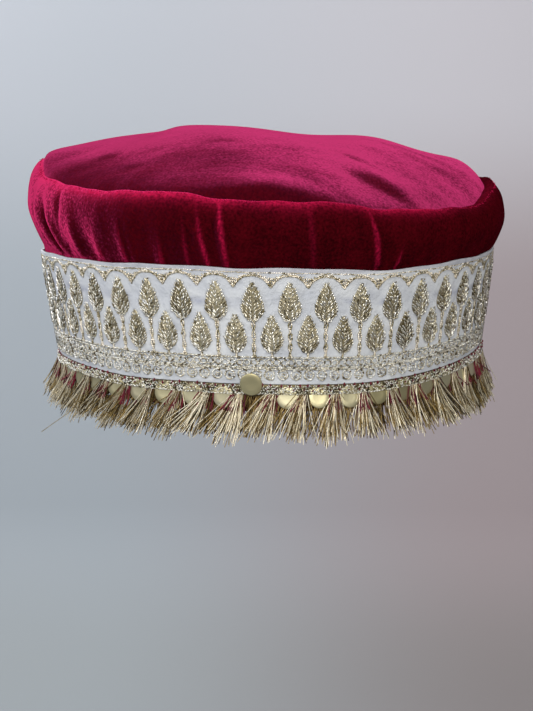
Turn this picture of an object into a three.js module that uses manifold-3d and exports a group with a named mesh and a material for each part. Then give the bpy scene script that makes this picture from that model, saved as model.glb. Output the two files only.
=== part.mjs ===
// Embroidered velvet cap: a soft round cap with a domed velvet tip, a gathered velvet side and a ribbon band
// for the embroidery. Below the band, a braid carries a string of sequins and a short thread fringe.
// Millimetres, +Z up. The origin is the centre of the head opening, in the plane of the velvet hem.
// The front of the cap faces -Y. A turn is an angle in degrees round the cap from the front, towards +X.

import * as THREE from "three";
import { ParametricGeometry } from "three/addons/geometries/ParametricGeometry.js";
import { mergeVertices } from "three/addons/utils/BufferGeometryUtils.js";
import Module from "manifold-3d";

const { degToRad, radToDeg, euclideanModulo, lerp } = THREE.MathUtils;
const wasm = await Module();
wasm.setup();

// Driving dimensions
const OVAL = 1.05; // length of every ring from front to back, over its width
const CLOTH = 2.0; // velvet with its backing
const GAP = 0.35; // clearance between sewn pieces
const HEM_DROP = 10; // the velvet hem hangs this far below the band
const BAND_WIDTH = 41;
const BAND_CLOTH = 1.0;
const BAND_FOOT = 88.5; // half the cap's width at the band's lower edge
const BAND_HEAD = 93.1; // half the cap's width at the band's upper edge
const LEAN = 0.035; // the cap leans to the left by this share of its height, up to the band's upper edge
const BRAID_WIDTH = 4.4;
const BRAID_CLOTH = 1.1;
const TIP_TOP = 99; // height of the domed tip at its middle
const SEQUIN_COUNT = 50;
const SEQUIN_RADIUS = 3.9;
const SEQUIN_FOIL = 0.4;
const SEQUIN_SIDES = 8;
const SEQUIN_DROP = 0.2; // from the sewing thread down to a sequin's middle
const FIRST_SEQUIN_TURN = -3.4;
const THREAD = 0.9; // sewing thread of the sequins
const THREAD_LIFT = 0.5; // the thread runs this far above the foot of the braid
const FRINGE_HEAD = { depth: 3.2, thickness: 1.3 }; // woven heading that the locks hang from
const LOCK_COUNT = 64;
const LOCK_LENGTH = 14.2;
const LOCK_WIDTH = 8.0;
const LOCK_CLOTH = 1.1;
const LOCK_FLARE = 4.6; // the tips of the fringe stand out this far
const LOCK_TIP = { width: 0.9, thickness: 1.5 }; // sizes of a lock's tip over those of its head
const LOCK_SPREAD = { length: 0.1, lean: 1.3, flare: 0.3 }; // how the locks differ from each other

// Facets round the cap, with more of them at the front, where the folds are sharp
const SLICES = 88;
const FRONT_DENSITY = 0.45;

// Worked-out heights
const BAND_FOOT_Z = HEM_DROP;
const BAND_HEAD_Z = HEM_DROP + BAND_WIDTH;
const BRAID_HEAD_Z = BAND_FOOT_Z - GAP;
const BRAID_FOOT_Z = BRAID_HEAD_Z - BRAID_WIDTH;
const FRINGE_HEAD_Z = BRAID_FOOT_Z - GAP;

// The velvet side above the band: how high its rolled top edge stands over the band, how far its belly stands
// out, and how far the roll turns in to the seam of the tip. The soft front has sunk a little, most of all to
// the right.
const CROWN_SIDE = [
  { turn: -180, roll: 29.0, belly: 5.0, inset: 1.7 },
  { turn: -130, roll: 31.0, belly: 5.4, inset: 1.7 },
  { turn: -88, roll: 32.8, belly: 6.2, inset: -0.6 },
  { turn: -66, roll: 25.8, belly: 5.6, inset: -0.6 },
  { turn: -46, roll: 23.2, belly: 4.6, inset: 1.5 },
  { turn: -20, roll: 23.4, belly: 4.0, inset: 1.7 },
  { turn: -12, roll: 22.0, belly: 4.0, inset: 1.7 },
  { turn: 0, roll: 20.8, belly: 4.0, inset: 1.7 },
  { turn: 12, roll: 20.8, belly: 4.0, inset: 1.7 },
  { turn: 30, roll: 17.7, belly: 4.4, inset: 1.7 },
  { turn: 56, roll: 17.8, belly: 5.2, inset: 1.2 },
  { turn: 74, roll: 23.6, belly: 4.7, inset: 2.6 },
  { turn: 92, roll: 26.2, belly: 4.5, inset: 2.6 },
  { turn: 130, roll: 28.5, belly: 5.0, inset: 1.7 },
];

// The shape of the side from the band up to the roll, as shares of the roll's height and of the belly
const SIDE_CURVE = [
  { rise: 0.0, out: 0.0 },
  { rise: 0.24, out: 0.55 },
  { rise: 0.52, out: 1.0 },
  { rise: 0.8, out: 0.87 },
  { rise: 0.95, out: 0.48 },
  { rise: 1.0, out: 0.06 },
];
const SEAM_DROP = 1.4; // from the crest of the roll down to the seam

// Gathers in the velvet side: each runs from its turn at the roll to its turn at the band. They stand out
// most on the belly, still show at the band, and end at the roll.
const GATHERS = [
  { top: -67, foot: -53, spread: 3.2, rise: -1.7 },
  { top: -59, foot: -46, spread: 3.0, rise: 1.8 },
  { top: -51, foot: -40, spread: 2.8, rise: -1.2 },
  { top: -34, foot: -31, spread: 2.6, rise: 1.3 },
  { top: -26, foot: -24, spread: 3.0, rise: -0.9 },
  { top: -20, foot: -16.5, spread: 2.4, rise: 1.1 },
  { top: -13.5, foot: -12, spread: 2.0, rise: 1.0 },
  { top: -9, foot: -8.2, spread: 2.0, rise: 1.5 },
  { top: 3, foot: 3, spread: 4.0, rise: -0.8 },
  { top: 10, foot: 9.5, spread: 2.6, rise: 0.8 },
  { top: 21.5, foot: 23.3, spread: 2.2, rise: 1.5 },
  { top: 27, foot: 28, spread: 2.2, rise: 0.7 },
  { top: 62, foot: 56, spread: 5.0, rise: -1.2 },
  { top: 96, foot: 92, spread: 6.0, rise: 1.0 },
  { top: 124, foot: 122, spread: 6.0, rise: -1.1 },
  { top: 152, foot: 150, spread: 6.0, rise: 1.0 },
  { top: -166, foot: -168, spread: 6.0, rise: -1.0 },
  { top: -138, foot: -136, spread: 6.0, rise: 1.0 },
  { top: -108, foot: -104, spread: 6.0, rise: -1.1 },
];
const GATHER_AT_BAND = 0.18; // phase of the gathers' half-wave at the band, in half-turns

// The edge of the tip stands up steeply behind the roll by this much
const TIP_EDGE = [
  { turn: -180, lift: 0.8 },
  { turn: -110, lift: 0.8 },
  { turn: -75, lift: 2.0 },
  { turn: -46, lift: 2.0 },
  { turn: -24, lift: 1.8 },
  { turn: -5, lift: 3.0 },
  { turn: 8, lift: 2.6 },
  { turn: 17, lift: 0.3 },
  { turn: 60, lift: 0.0 },
  { turn: 100, lift: 0.8 },
];
const EDGE_RISE = 1.6; // the edge has risen this far in from the seam
const EDGE_FALL = 17; // and has died away this far in

// Dents and swellings of the tip: the middle's turn and its reach as a share of the radius, half-sizes along
// and across, the heading of its long side from +X, and how far it rises or sinks
const TIP_DENTS = [
  { turn: -84, reach: 0.94, along: 26, across: 11, heading: 90, rise: 0.4 },
  { turn: -52, reach: 0.84, along: 24, across: 9, heading: -52, rise: -1.6 },
  { turn: 29, reach: 0.95, along: 13, across: 6, heading: -15, rise: -1.4 },
  { turn: 90, reach: 0.68, along: 50, across: 14, heading: 90, rise: -1.8 },
  { turn: 84, reach: 0.93, along: 22, across: 9, heading: 90, rise: 2.6 },
  { turn: 90, reach: 0.2, along: 70, across: 24, heading: 90, rise: -3.6 },
  { turn: -90, reach: 0.5, along: 50, across: 20, heading: 90, rise: -1.2 },
];
const DENT_RING = 88; // half-width of the ring that a reach of 1 stands for
const TIP_RINGS = [0, 0.24, 0.48, 0.68, 0.82, 0.92, 0.97, 1];
const DOME_FULLNESS = { power: 2.6, root: 0.85 };
const SEAM_HOLD = 14; // power of the reach by which the seam holds the dents flat

// Tolerances for joining solids
const MERGE = 1e-4;
const FLATNESS = 0.01;

// A column of a table of turns, eased from row to row all the way round
function around(table, column, turn) {
  const next = table.findIndex((row) => row.turn > turn);
  const after = next < 0 ? table[0] : table[next];
  const before = table[(next < 0 ? table.length : next) - 1];
  const span = euclideanModulo(after.turn - before.turn, 360);
  const share = (turn - before.turn) / span;
  return lerp(before[column], after[column], (1 - Math.cos(Math.PI * share)) / 2);
}

// The turn of a share of the way round, from -180 to 180
function turnAt(share) {
  const even = 2 * Math.PI * (share - 0.5);
  return radToDeg(even - FRONT_DENSITY * Math.sin(even));
}

// How far to the side the middle of the ring at this height lies
const ringMiddle = (z) => -LEAN * Math.min(z, BAND_HEAD_Z);

// A point at a turn on the ring of this half-width
function ringPoint(halfWidth, z, turn, target = new THREE.Vector3()) {
  const angle = degToRad(turn);
  return target.set(ringMiddle(z) + halfWidth * Math.sin(angle), -OVAL * halfWidth * Math.cos(angle), z);
}

// A solid swept round the cap: sectionAt(turn) gives the points { w, z } of its section, half-width and
// height, up the outside and back down the inside
function sweep(sectionAt, slices) {
  const sections = Array.from({ length: slices + 1 }, (_, i) => sectionAt(turnAt((i % slices) / slices)));
  const stacks = sections[0].length - 1;
  const surface = (u, v, target) => {
    const slice = Math.round(u * slices);
    const { w, z } = sections[slice][Math.round(v * stacks)];
    ringPoint(w, z, turnAt((slice % slices) / slices), target);
  };
  return new ParametricGeometry(surface, slices, stacks);
}

// The closed section of a wall along a middle line, whose foot is cut level and whose head faces headNormal
function wallSection(line, thickness, headNormal) {
  const offset = (side) =>
    line.map(({ w, z }, i) => {
      const from = line[Math.max(i - 1, 0)];
      const to = line[Math.min(i + 1, line.length - 1)];
      const normal = new THREE.Vector2(to.z - from.z, from.w - to.w).normalize();
      if (i === 0) normal.set(1, 0);
      if (i === line.length - 1) normal.copy(headNormal);
      return { w: w + (side * normal.x * thickness) / 2, z: z + (side * normal.y * thickness) / 2 };
    });
  const section = [...offset(1), ...offset(-1).reverse()];
  return [...section, section[0]];
}

// A plain band round the cap between two heights, whose inner face has this half-width at each height
function straightWall(innerAt, footZ, headZ, thickness, slices) {
  const line = [footZ, headZ].map((z) => ({ w: innerAt(z) + thickness / 2, z }));
  const section = wallSection(line, thickness, new THREE.Vector2(1, 0));
  return sweep(() => section, slices);
}

// Half-widths of the faces that lie on each other, from the band inwards
const bandOuter = (z) => lerp(BAND_FOOT, BAND_HEAD, (z - BAND_FOOT_Z) / BAND_WIDTH);
const velvetOuter = (z) => bandOuter(z) - BAND_CLOTH - GAP;
const trimInner = (z) => velvetOuter(z) + GAP;

// Push of all the gathers at a turn and at a share of the way up from the band to the roll
function gatherPush(turn, share) {
  const fade = Math.sqrt(Math.max(0, Math.sin(Math.PI * lerp(GATHER_AT_BAND, 1, share))));
  return GATHERS.reduce((sum, { top, foot, spread, rise }) => {
    const apart = euclideanModulo(turn - lerp(foot, top, share) + 180, 360) - 180;
    return sum + rise * fade * Math.exp(-((apart / spread) ** 2));
  }, 0);
}

// Middle line of the velvet side from the hem to the seam of the tip
function sideLine(turn) {
  const roll = around(CROWN_SIDE, "roll", turn);
  const belly = around(CROWN_SIDE, "belly", turn);
  const middle = (z) => velvetOuter(z) - CLOTH / 2;
  const curve = SIDE_CURVE.map(({ rise, out }) => ({
    w: middle(BAND_HEAD_Z) + belly * out + (rise > 0 ? gatherPush(turn, rise) : 0),
    z: BAND_HEAD_Z + roll * rise,
  }));
  const top = curve[curve.length - 1];
  const seam = { w: top.w - around(CROWN_SIDE, "inset", turn), z: top.z - SEAM_DROP };
  return [{ w: middle(0), z: 0 }, ...curve, seam];
}

// Height of the tip's middle surface over a point at this reach from the centre, from 0 to 1 at the seam
function tipHeight(turn, reach, seam) {
  const dome = (1 - reach ** DOME_FULLNESS.power) ** DOME_FULLNESS.root;
  const up = new THREE.Vector3(0, 0, 1);
  const inward = seam.w * (1 - reach);
  const standing = (1 - Math.exp(-((inward / EDGE_RISE) ** 2))) * Math.exp(-((inward / EDGE_FALL) ** 2));
  const edge = around(TIP_EDGE, "lift", turn) * standing;
  const dents = TIP_DENTS.reduce((sum, dent) => {
    const offset = ringPoint(seam.w * reach, 0, turn).sub(ringPoint(DENT_RING * dent.reach, 0, dent.turn));
    offset.applyAxisAngle(up, -degToRad(dent.heading));
    return sum + dent.rise * Math.exp(-((offset.x / dent.along) ** 2) - (offset.y / dent.across) ** 2);
  }, 0);
  return seam.z + (TIP_TOP - CLOTH / 2 - seam.z) * dome + edge + dents * (1 - reach ** SEAM_HOLD);
}

// Section of the tip from the middle of its lower face, round its edge at the seam, to the middle of its top
function tipSection(turn) {
  const line = sideLine(turn);
  const seam = line[line.length - 1];
  const edge = { w: seam.w - GAP, z: seam.z };
  const surface = TIP_RINGS.map((reach) => ({ w: edge.w * reach, z: tipHeight(turn, reach, edge) }));
  const shift = (z) => surface.map((point) => ({ w: point.w, z: point.z + z }));
  return [...shift(-CLOTH / 2), ...shift(CLOTH / 2).reverse()];
}

// A closed geometry as a solid
function solidOf(geometry) {
  const bare = geometry.clone();
  bare.deleteAttribute("normal");
  bare.deleteAttribute("uv");
  const merged = mergeVertices(bare, MERGE);
  const vertProperties = merged.attributes.position.array;
  return new wasm.Manifold(
    new wasm.Mesh({ numProp: 3, vertProperties, triVerts: new Uint32Array(merged.index.array) }),
  );
}

// Closed geometries joined into one body
function fuse(geometries) {
  const joined = geometries.map(solidOf).reduce((whole, solid) => whole.add(solid));
  const { vertProperties, triVerts } = joined.asOriginal().simplify(FLATNESS).getMesh();
  return new THREE.BufferGeometry()
    .setAttribute("position", new THREE.BufferAttribute(vertProperties, 3))
    .setIndex(new THREE.BufferAttribute(triVerts, 1))
    .toNonIndexed();
}

// Stands a piece made at the origin, facing -Y, at a turn on the ring of this half-width
function standAt(geometry, halfWidth, z, turn) {
  const angle = degToRad(turn);
  const facing = Math.atan2(Math.sin(angle), Math.cos(angle) / OVAL);
  const place = new THREE.Matrix4().makeRotationZ(facing);
  place.setPosition(ringPoint(halfWidth, z, turn));
  return geometry.applyMatrix4(place);
}

// Sequins on their sewing thread, which runs between them and the braid
function sequinString() {
  const threadZ = BRAID_FOOT_Z + THREAD_LIFT;
  const pitch = 360 / SEQUIN_COUNT;
  const threadHalfWidth = trimInner(threadZ) + BRAID_CLOTH + GAP + THREAD / 2;
  const thread = new THREE.TorusGeometry(threadHalfWidth, THREAD / 2, 4, SEQUIN_COUNT)
    .rotateZ(degToRad(FIRST_SEQUIN_TURN + pitch / 2 - 90))
    .scale(1, OVAL, 1)
    .translate(ringMiddle(threadZ), 0, threadZ);
  const sequins = Array.from({ length: SEQUIN_COUNT }, (_, i) => {
    const disc = new THREE.CylinderGeometry(SEQUIN_RADIUS, SEQUIN_RADIUS, SEQUIN_FOIL, SEQUIN_SIDES);
    disc.translate(0, 0, -SEQUIN_DROP);
    return standAt(disc, threadHalfWidth + SEQUIN_FOIL / 2, threadZ, FIRST_SEQUIN_TURN + pitch * i);
  });
  return fuse([thread, ...sequins]);
}

// One lock of the fringe: a tapering strip that hangs from its head and stands out towards its tip, a little
// more on the right of the cap. The sines make neighbours differ.
function fringeLock(index) {
  const length = LOCK_LENGTH * (1 + LOCK_SPREAD.length * Math.sin(1.7 * index));
  const lean = LOCK_SPREAD.lean * Math.sin(2.4 * index);
  const flare = LOCK_FLARE * (1 + LOCK_SPREAD.flare * Math.sin((2 * Math.PI * index) / LOCK_COUNT));
  const strip = new THREE.BoxGeometry(LOCK_WIDTH, LOCK_CLOTH, length, 1, 1, 2);
  const points = strip.attributes.position;
  for (let i = 0; i < points.count; i++) {
    const down = Math.max(0, 0.5 - points.getZ(i) / length);
    points.setX(i, points.getX(i) * lerp(1, LOCK_TIP.width, down) + lean * down ** 2);
    points.setY(i, points.getY(i) * lerp(1, LOCK_TIP.thickness, down) - flare * down ** 2);
    points.setZ(i, points.getZ(i) - length / 2);
  }
  return strip;
}

// The woven heading with all its locks
function fringe() {
  const footZ = FRINGE_HEAD_Z - FRINGE_HEAD.depth;
  const head = straightWall(trimInner, footZ, FRINGE_HEAD_Z, FRINGE_HEAD.thickness, SLICES);
  const lockHalfWidth = trimInner(FRINGE_HEAD_Z) + FRINGE_HEAD.thickness / 2;
  const lockHeadZ = FRINGE_HEAD_Z - FRINGE_HEAD.depth / 6;
  const locks = Array.from({ length: LOCK_COUNT }, (_, i) =>
    standAt(fringeLock(i), lockHalfWidth, lockHeadZ, (360 * i) / LOCK_COUNT),
  );
  return fuse([head, ...locks]);
}

// A named piece with its own material
function piece(name, geometry, look) {
  const mesh = new THREE.Mesh(geometry, new THREE.MeshStandardMaterial(look));
  mesh.name = name;
  return mesh;
}

const velvet = { color: 0x8f0f38, roughness: 0.95, metalness: 0 };
const ribbonCloth = { color: 0xd9d8da, roughness: 0.75, metalness: 0 };
const goldBraid = { color: 0x9a8450, roughness: 0.5, metalness: 0.6 };
const goldFoil = { color: 0xb9a768, roughness: 0.35, metalness: 0.9 };
const goldThread = { color: 0xb8a468, roughness: 0.42, metalness: 0.7 };

const crownTip = sweep(tipSection, SLICES / 2);
const crownSide = sweep((turn) => wallSection(sideLine(turn), CLOTH, new THREE.Vector2(0, 1)), SLICES);
const ribbonBand = straightWall(trimInner, BAND_FOOT_Z, BAND_HEAD_Z, BAND_CLOTH, SLICES);
const fringeBraid = straightWall(trimInner, BRAID_FOOT_Z, BRAID_HEAD_Z, BRAID_CLOTH, SLICES);

const cap = new THREE.Group();
cap.add(
  piece("crown_tip", crownTip, velvet),
  piece("crown_side", crownSide, velvet),
  piece("ribbon_band", ribbonBand, ribbonCloth),
  piece("fringe_braid", fringeBraid, goldBraid),
  piece("sequin_string", sequinString(), goldFoil),
  piece("fringe", fringe(), goldThread),
);

export default cap;
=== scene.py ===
# Embroidered velvet cap, dressed for the eye: piled velvet tip and side, a white ribbon with raised metallic
# thread embroidery, a braid, a string of sequins and a fringe of loose metallic threads.
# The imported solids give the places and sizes. Tables are in millimetres and degrees, meshes in metres.
# The front of the cap faces -Y. A turn is an angle round the cap from the front, towards +X.

import math
import random

import bpy
import numpy as np
from mathutils import Matrix, Vector


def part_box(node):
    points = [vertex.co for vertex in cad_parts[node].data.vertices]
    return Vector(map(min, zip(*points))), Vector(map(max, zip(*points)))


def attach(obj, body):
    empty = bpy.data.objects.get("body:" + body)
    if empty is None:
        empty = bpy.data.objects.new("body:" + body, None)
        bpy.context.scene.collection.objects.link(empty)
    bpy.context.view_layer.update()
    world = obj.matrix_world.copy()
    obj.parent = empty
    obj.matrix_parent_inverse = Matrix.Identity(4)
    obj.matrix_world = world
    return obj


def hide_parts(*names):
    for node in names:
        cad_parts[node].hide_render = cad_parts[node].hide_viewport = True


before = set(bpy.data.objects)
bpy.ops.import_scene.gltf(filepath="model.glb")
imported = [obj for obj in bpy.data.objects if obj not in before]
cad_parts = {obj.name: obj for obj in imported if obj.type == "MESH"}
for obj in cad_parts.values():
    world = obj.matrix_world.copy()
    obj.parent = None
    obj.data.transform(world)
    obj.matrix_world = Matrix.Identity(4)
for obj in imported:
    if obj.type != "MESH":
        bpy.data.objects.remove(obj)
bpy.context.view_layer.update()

MM = 0.001


def rows(columns, *table):
    """A short table as one array for each named column."""
    return dict(zip(columns.split(), np.array(table, float).T))


def named_rows(columns, **table):
    """A short table of named rows, each with its named columns."""
    return {name: dict(zip(columns.split(), row)) for name, row in table.items()}


def node_box(node):
    """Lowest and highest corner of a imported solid, in millimetres."""
    return [np.array(corner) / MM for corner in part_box(node)]


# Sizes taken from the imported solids
band_low, band_high = node_box("ribbon_band")
braid_low, braid_high = node_box("fringe_braid")
BAND_FOOT_Z = band_low[2]
BAND_HEAD_Z = band_high[2]
BAND_WIDTH = BAND_HEAD_Z - BAND_FOOT_Z
BAND_HEAD = (band_high[0] - band_low[0]) / 2
OVAL = band_high[1] / BAND_HEAD
BRAID_FOOT_Z = braid_low[2]
BRAID_HEAD_Z = braid_high[2]

# Driving sizes
BAND_TAPER = 4.6  # the band's half-width is this much less at its foot
LEAN = 0.035  # the cap leans to the left by this share of its height, up to the band's upper edge
BAND_TILT = 0.035  # band, braid and fringe sit higher to the right by this share
BAND_CLOTH = 1.0
BRAID_CLOTH = 1.1
VELVET_CLOTH = 2.0
GAP = 0.35  # between sewn pieces
TIP_TOP = 99.0
SLOPE = BAND_TAPER / BAND_WIDTH
INNER_AT_ZERO = BAND_HEAD - BAND_CLOTH - SLOPE * BAND_HEAD_Z  # half-width of the trims' inner face at z 0


def inner_face(height):
    """Half-width of the face that ribbon, braid and fringe are sewn against."""
    return INNER_AT_ZERO + SLOPE * height


# Where the soft band hangs lower: middle, reach round the cap, drop at its foot and at its upper edge
BAND_SAGS = rows(
    "turn reach foot head",
    (38, 28, 1.1, 1.1),
    (64, 34, 0.0, 2.2),
    (95, 14, 1.6, 0.3),
    (24, 14, 0.6, 1.2),
    (-2, 12, -0.4, 0.0),
    (-19, 13, -0.9, -1.1),
    (-54, 22, -1.4, -1.6),
)

MIDDLE_HALF_WIDTH = inner_face((BAND_FOOT_Z + BAND_HEAD_Z) / 2) + BAND_CLOTH
ROUND = 2 * math.pi * MIDDLE_HALF_WIDTH * math.sqrt((1 + OVAL**2) / 2)  # length round the band

# The velvet side above the band: height of its rolled top edge, how far its belly stands out and how far the
# roll turns in to the seam of the tip
CROWN_SIDE = rows(
    "turn roll belly inset",
    (-180, 29.0, 5.0, 1.7),
    (-130, 31.0, 5.4, 1.7),
    (-88, 32.8, 6.2, -0.6),
    (-66, 25.8, 5.6, -0.6),
    (-46, 23.2, 4.6, 1.5),
    (-20, 23.4, 4.0, 1.7),
    (-12, 22.0, 4.0, 1.7),
    (0, 20.8, 4.0, 1.7),
    (12, 20.8, 4.0, 1.7),
    (30, 17.7, 4.4, 1.7),
    (56, 17.8, 5.2, 1.2),
    (74, 23.6, 4.7, 2.6),
    (92, 26.2, 4.5, 2.6),
    (130, 28.5, 5.0, 1.7),
    (180, 29.0, 5.0, 1.7),
)
SEAM_DROP = 1.4  # from the crest of the roll down to the seam

# Small waves along the crest of the roll
ROLL_WAVES = rows("waves start swell", (13, 30, 0.2), (23, 110, 0.2), (41, 0, 0.14))

# The section of the side from the band over the roll and in to the seam allowance under the tip: shares of
# the roll's height, of the belly, of the inset and of the drop
SIDE_CURVE = rows(
    "rise out inset drop",
    (0.0, 0.0, 0, 0),
    (0.24, 0.55, 0, 0),
    (0.52, 1.0, 0, 0),
    (0.8, 0.87, 0, 0),
    (0.95, 0.48, 0, 0),
    (1.0, 0.06, 0, 0),
    (1.0, 0.06, 1, 1),
    (1.0, 0.06, 1.8, 3),
)

# Gathers of the side, each from its turn at the roll to its turn at the band, strongest at a share of the way
# up and fading over its reach, and how strongly a lighter crimson is painted along its ridge as sheen
GATHERS = rows(
    "top foot spread rise middle reach open",
    (-72, -62.9, 1.7, -1.8, 0.4, 0.6, 0),
    (-66, -59.0, 2.0, 1.3, 0.4, 0.6, 0),
    (-62, -55.3, 1.2, -2.0, 0.3, 0.4, 0),
    (-60, -52.3, 1.4, 1.5, 0.2, 0.4, 0),
    (-53, -50.8, 0.9, -1.2, 0.85, 0.35, 0),
    (-48.5, -46.0, 1.2, 1.2, 0.15, 0.4, 0),
    (-45, -42.0, 2.2, -1.0, 0.2, 0.5, 0),
    (-40, -38.4, 1.1, 0.7, 0.05, 0.25, 0.6),
    (-33, -31.6, 1.0, 0.8, 0.1, 0.4, 0.45),
    (-27, -25.0, 2.6, -0.6, 0.3, 0.5, 0),
    (-23, -22.7, 1.2, 0.5, 0.0, 0.3, 0.5),
    (-17.5, -16.6, 1.4, 0.4, 0.2, 0.3, 0.35),
    (-14.8, -12.2, 1.1, 0.9, 0.25, 0.4, 0.9),
    (-9.8, -8.2, 0.9, 1.2, 0.5, 0.7, 1.0),
    (3, 3, 4.0, -0.7, 0.4, 0.5, 0),
    (8.2, 9.8, 2.0, 0.6, 0.5, 0.7, 0.15),
    (21.0, 23.9, 1.0, 1.2, 0.35, 0.6, 0.8),
    (29.5, 28.6, 1.0, 0.7, 0.05, 0.2, 0.7),
    (44, 41, 4.0, -0.6, 0.4, 0.5, 0),
    (62, 56, 4.0, -0.9, 0.5, 0.5, 0),
    (78, 74, 3.0, 0.7, 0.3, 0.5, 0),
    (96, 92, 4.0, 0.9, 0.3, 0.6, 0),
    (110, 107, 2.0, -0.8, 0.3, 0.5, 0),
    (124, 122, 3.0, 0.9, 0.4, 0.6, 0),
    (139, 137, 1.6, 0.9, 0.2, 0.4, 0),
    (152, 150, 5.0, -0.8, 0.5, 0.5, 0),
    (168, 166, 1.6, 1.0, 0.3, 0.5, 0),
    (-168, -166, 4.0, -0.8, 0.4, 0.5, 0),
    (-152, -150, 1.5, 1.0, 0.3, 0.5, 0),
    (-138, -136, 4.0, -0.8, 0.4, 0.5, 0),
    (-120, -117, 1.8, 1.0, 0.3, 0.5, 0),
    (-104, -98, 3.0, -1.0, 0.4, 0.6, 0),
    (-90, -82, 2.0, 1.0, 0.3, 0.5, 0),
)

GATHER_START = 0.04  # share of the way up over which a gather grows out of the band's seam
GATHER_HOLD = 6  # how sharply the roll's crest holds the gathers flat

# How strongly a lighter crimson is painted in as sheen where the pile opens along the crest of the roll, and
# in the soft bloom below it
CREST_PAINTED_SHEEN = rows(
    "turn crest bloom",
    (-180, 0.6, 0.1),
    (-75, 0.6, 0.1),
    (-52, 0.9, 0.25),
    (-40, 1.0, 0.4),
    (-24, 1.0, 0.3),
    (-10, 0.9, 0.1),
    (-4, 0.5, 0.1),
    (4, 0.7, 0.3),
    (12, 0.6, 0.05),
    (24, 0.6, 0.1),
    (34, 0.6, 0.2),
    (50, 0.1, 0.0),
    (90, 0.05, 0.0),
    (180, 0.6, 0.1),
)
CREST = 4.9  # place of the crest, counted in rows of the side's section
CREST_BANDS = {"crest": 0.9, "bloom": 1.3}  # how far below it each fades, in rows
RIDGE_SHARE = 0.26  # width of the painted sheen over that of its ridge

# The tip's edge stands up steeply behind the roll by this much
TIP_EDGE = rows(
    "turn lift",
    (-180, 0.8),
    (-110, 0.8),
    (-92, 2.6),
    (-75, 2.4),
    (-46, 2.0),
    (-24, 1.4),
    (-17, 1.2),
    (-10, 3.4),
    (-2, 4.8),
    (6, 3.8),
    (12, 1.6),
    (17, 0.3),
    (60, 0.0),
    (100, 0.8),
    (180, 0.8),
)
EDGE_RISE = 1.1  # how far in from the seam the edge has risen
EDGE_FALL = 10  # how far in it has died away

# Dents and swellings of the tip: middle, half-sizes, heading of the long side from +X, and rise
TIP_DENTS = rows(
    "turn reach along across heading rise",
    (-84, 0.94, 26, 11, 90, 0.4),
    (-52, 0.84, 24, 9, -52, -1.6),
    (90, 0.68, 50, 14, 90, -1.8),
    (84, 0.93, 22, 9, 90, 2.6),
    (90, 0.2, 70, 24, 90, -3.6),
    (-90, 0.5, 50, 20, 90, -1.2),
    (-104, 0.44, 40, 14, 80, 0.8),
)

# Folds of the tip: beyond its line the cloth stands up, before it the cloth sinks
TIP_FOLDS = rows(
    "turn reach along across heading rise edge",
    (31.7, 0.925, 13, 8, -15, 1.7, 1.1),
    (30, 0.72, 8, 3, -35, 0.45, 0.8),
    (46.5, 0.97, 5, 2.5, 12, 0.5, 0.5),
    (-104, 0.44, 40, 16, 80, -0.8, 3.0),
)
DENT_RING = 88  # half-width that a reach is a share of
DOME_POWER = 2.6
DOME_ROOT = 0.85
SEAM_HOLD = 14  # how sharply the seam holds dents and folds flat

# Small gathers that the seam of the band draws into the velvet
PUCKER_COUNT = 90
PUCKER_CHANCE = {"place": 0.4, "spread": (0.7, 1.5), "rise": (-0.1, 0.55), "reach": (0.15, 0.5), "lean": 4}
PUCKER_SEED = 11

# Meshes of the velvet: slices round the cap, and rows or rings
SIDE_MESH = {"slices": 720, "under_band": 2, "above_band": 38}
TIP_MESH = {"slices": 400, "rings": 70, "rim_density": 1.4}


# Small helpers for nodes and meshes

def linear(code):
    """An sRGB hex colour as linear red, green, blue and alpha."""
    parts = [int(code[i : i + 2], 16) / 255 for i in (1, 3, 5)]
    return [c / 12.92 if c <= 0.04045 else ((c + 0.055) / 1.055) ** 2.4 for c in parts] + [1.0]


def per(size):
    """Texture scale for a pattern of this size in millimetres."""
    return 1 / (size * MM)


def connect(tree, node, inputs):
    """Sets a node's inputs to values, or links them from sockets."""
    for key, value in inputs.items():
        socket = node.inputs[key]
        if isinstance(value, bpy.types.NodeSocket):
            tree.links.new(value, socket)
        else:
            socket.default_value = value


def add(tree, kind, inputs=None, **settings):
    """Adds a node with its settings and inputs, and gives its outputs."""
    node = tree.nodes.new(kind)
    for name, value in settings.items():
        setattr(node, name, value)
    connect(tree, node, inputs or {})
    return node.outputs


def new_material(name, **constants):
    """A material with its shader's plain sockets set."""
    material = bpy.data.materials.new(name)
    material.use_nodes = True
    tree = material.node_tree
    shader = tree.nodes["Principled BSDF"]
    for socket, value in constants.items():
        shader.inputs[socket.replace("_", " ")].default_value = value
    return material, tree, shader


def new_object(name, mesh):
    piece = bpy.data.objects.new(name, mesh)
    bpy.context.scene.collection.objects.link(piece)
    return piece


def finished(piece):
    """The piece with its modifiers made into a plain mesh."""
    name = piece.name
    mesh = bpy.data.meshes.new_from_object(piece.evaluated_get(bpy.context.evaluated_depsgraph_get()))
    bpy.data.objects.remove(piece)
    mesh.name = name
    return new_object(name, mesh)


def new_mesh(name, vertices, faces=()):
    """A smooth mesh of points in metres and faces."""
    mesh = bpy.data.meshes.new(name)
    mesh.from_pydata(vertices, [], faces, shade_flat=False)
    return mesh


def ring(half_width, height, turn):
    """Points in metres at turns on rings of these half-widths and heights, in millimetres."""
    angle = np.radians(turn)
    x = half_width * np.sin(angle) - LEAN * np.minimum(height, BAND_HEAD_Z)
    return np.stack([x, -OVAL * half_width * np.cos(angle), height + 0 * angle], -1) * MM


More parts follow.
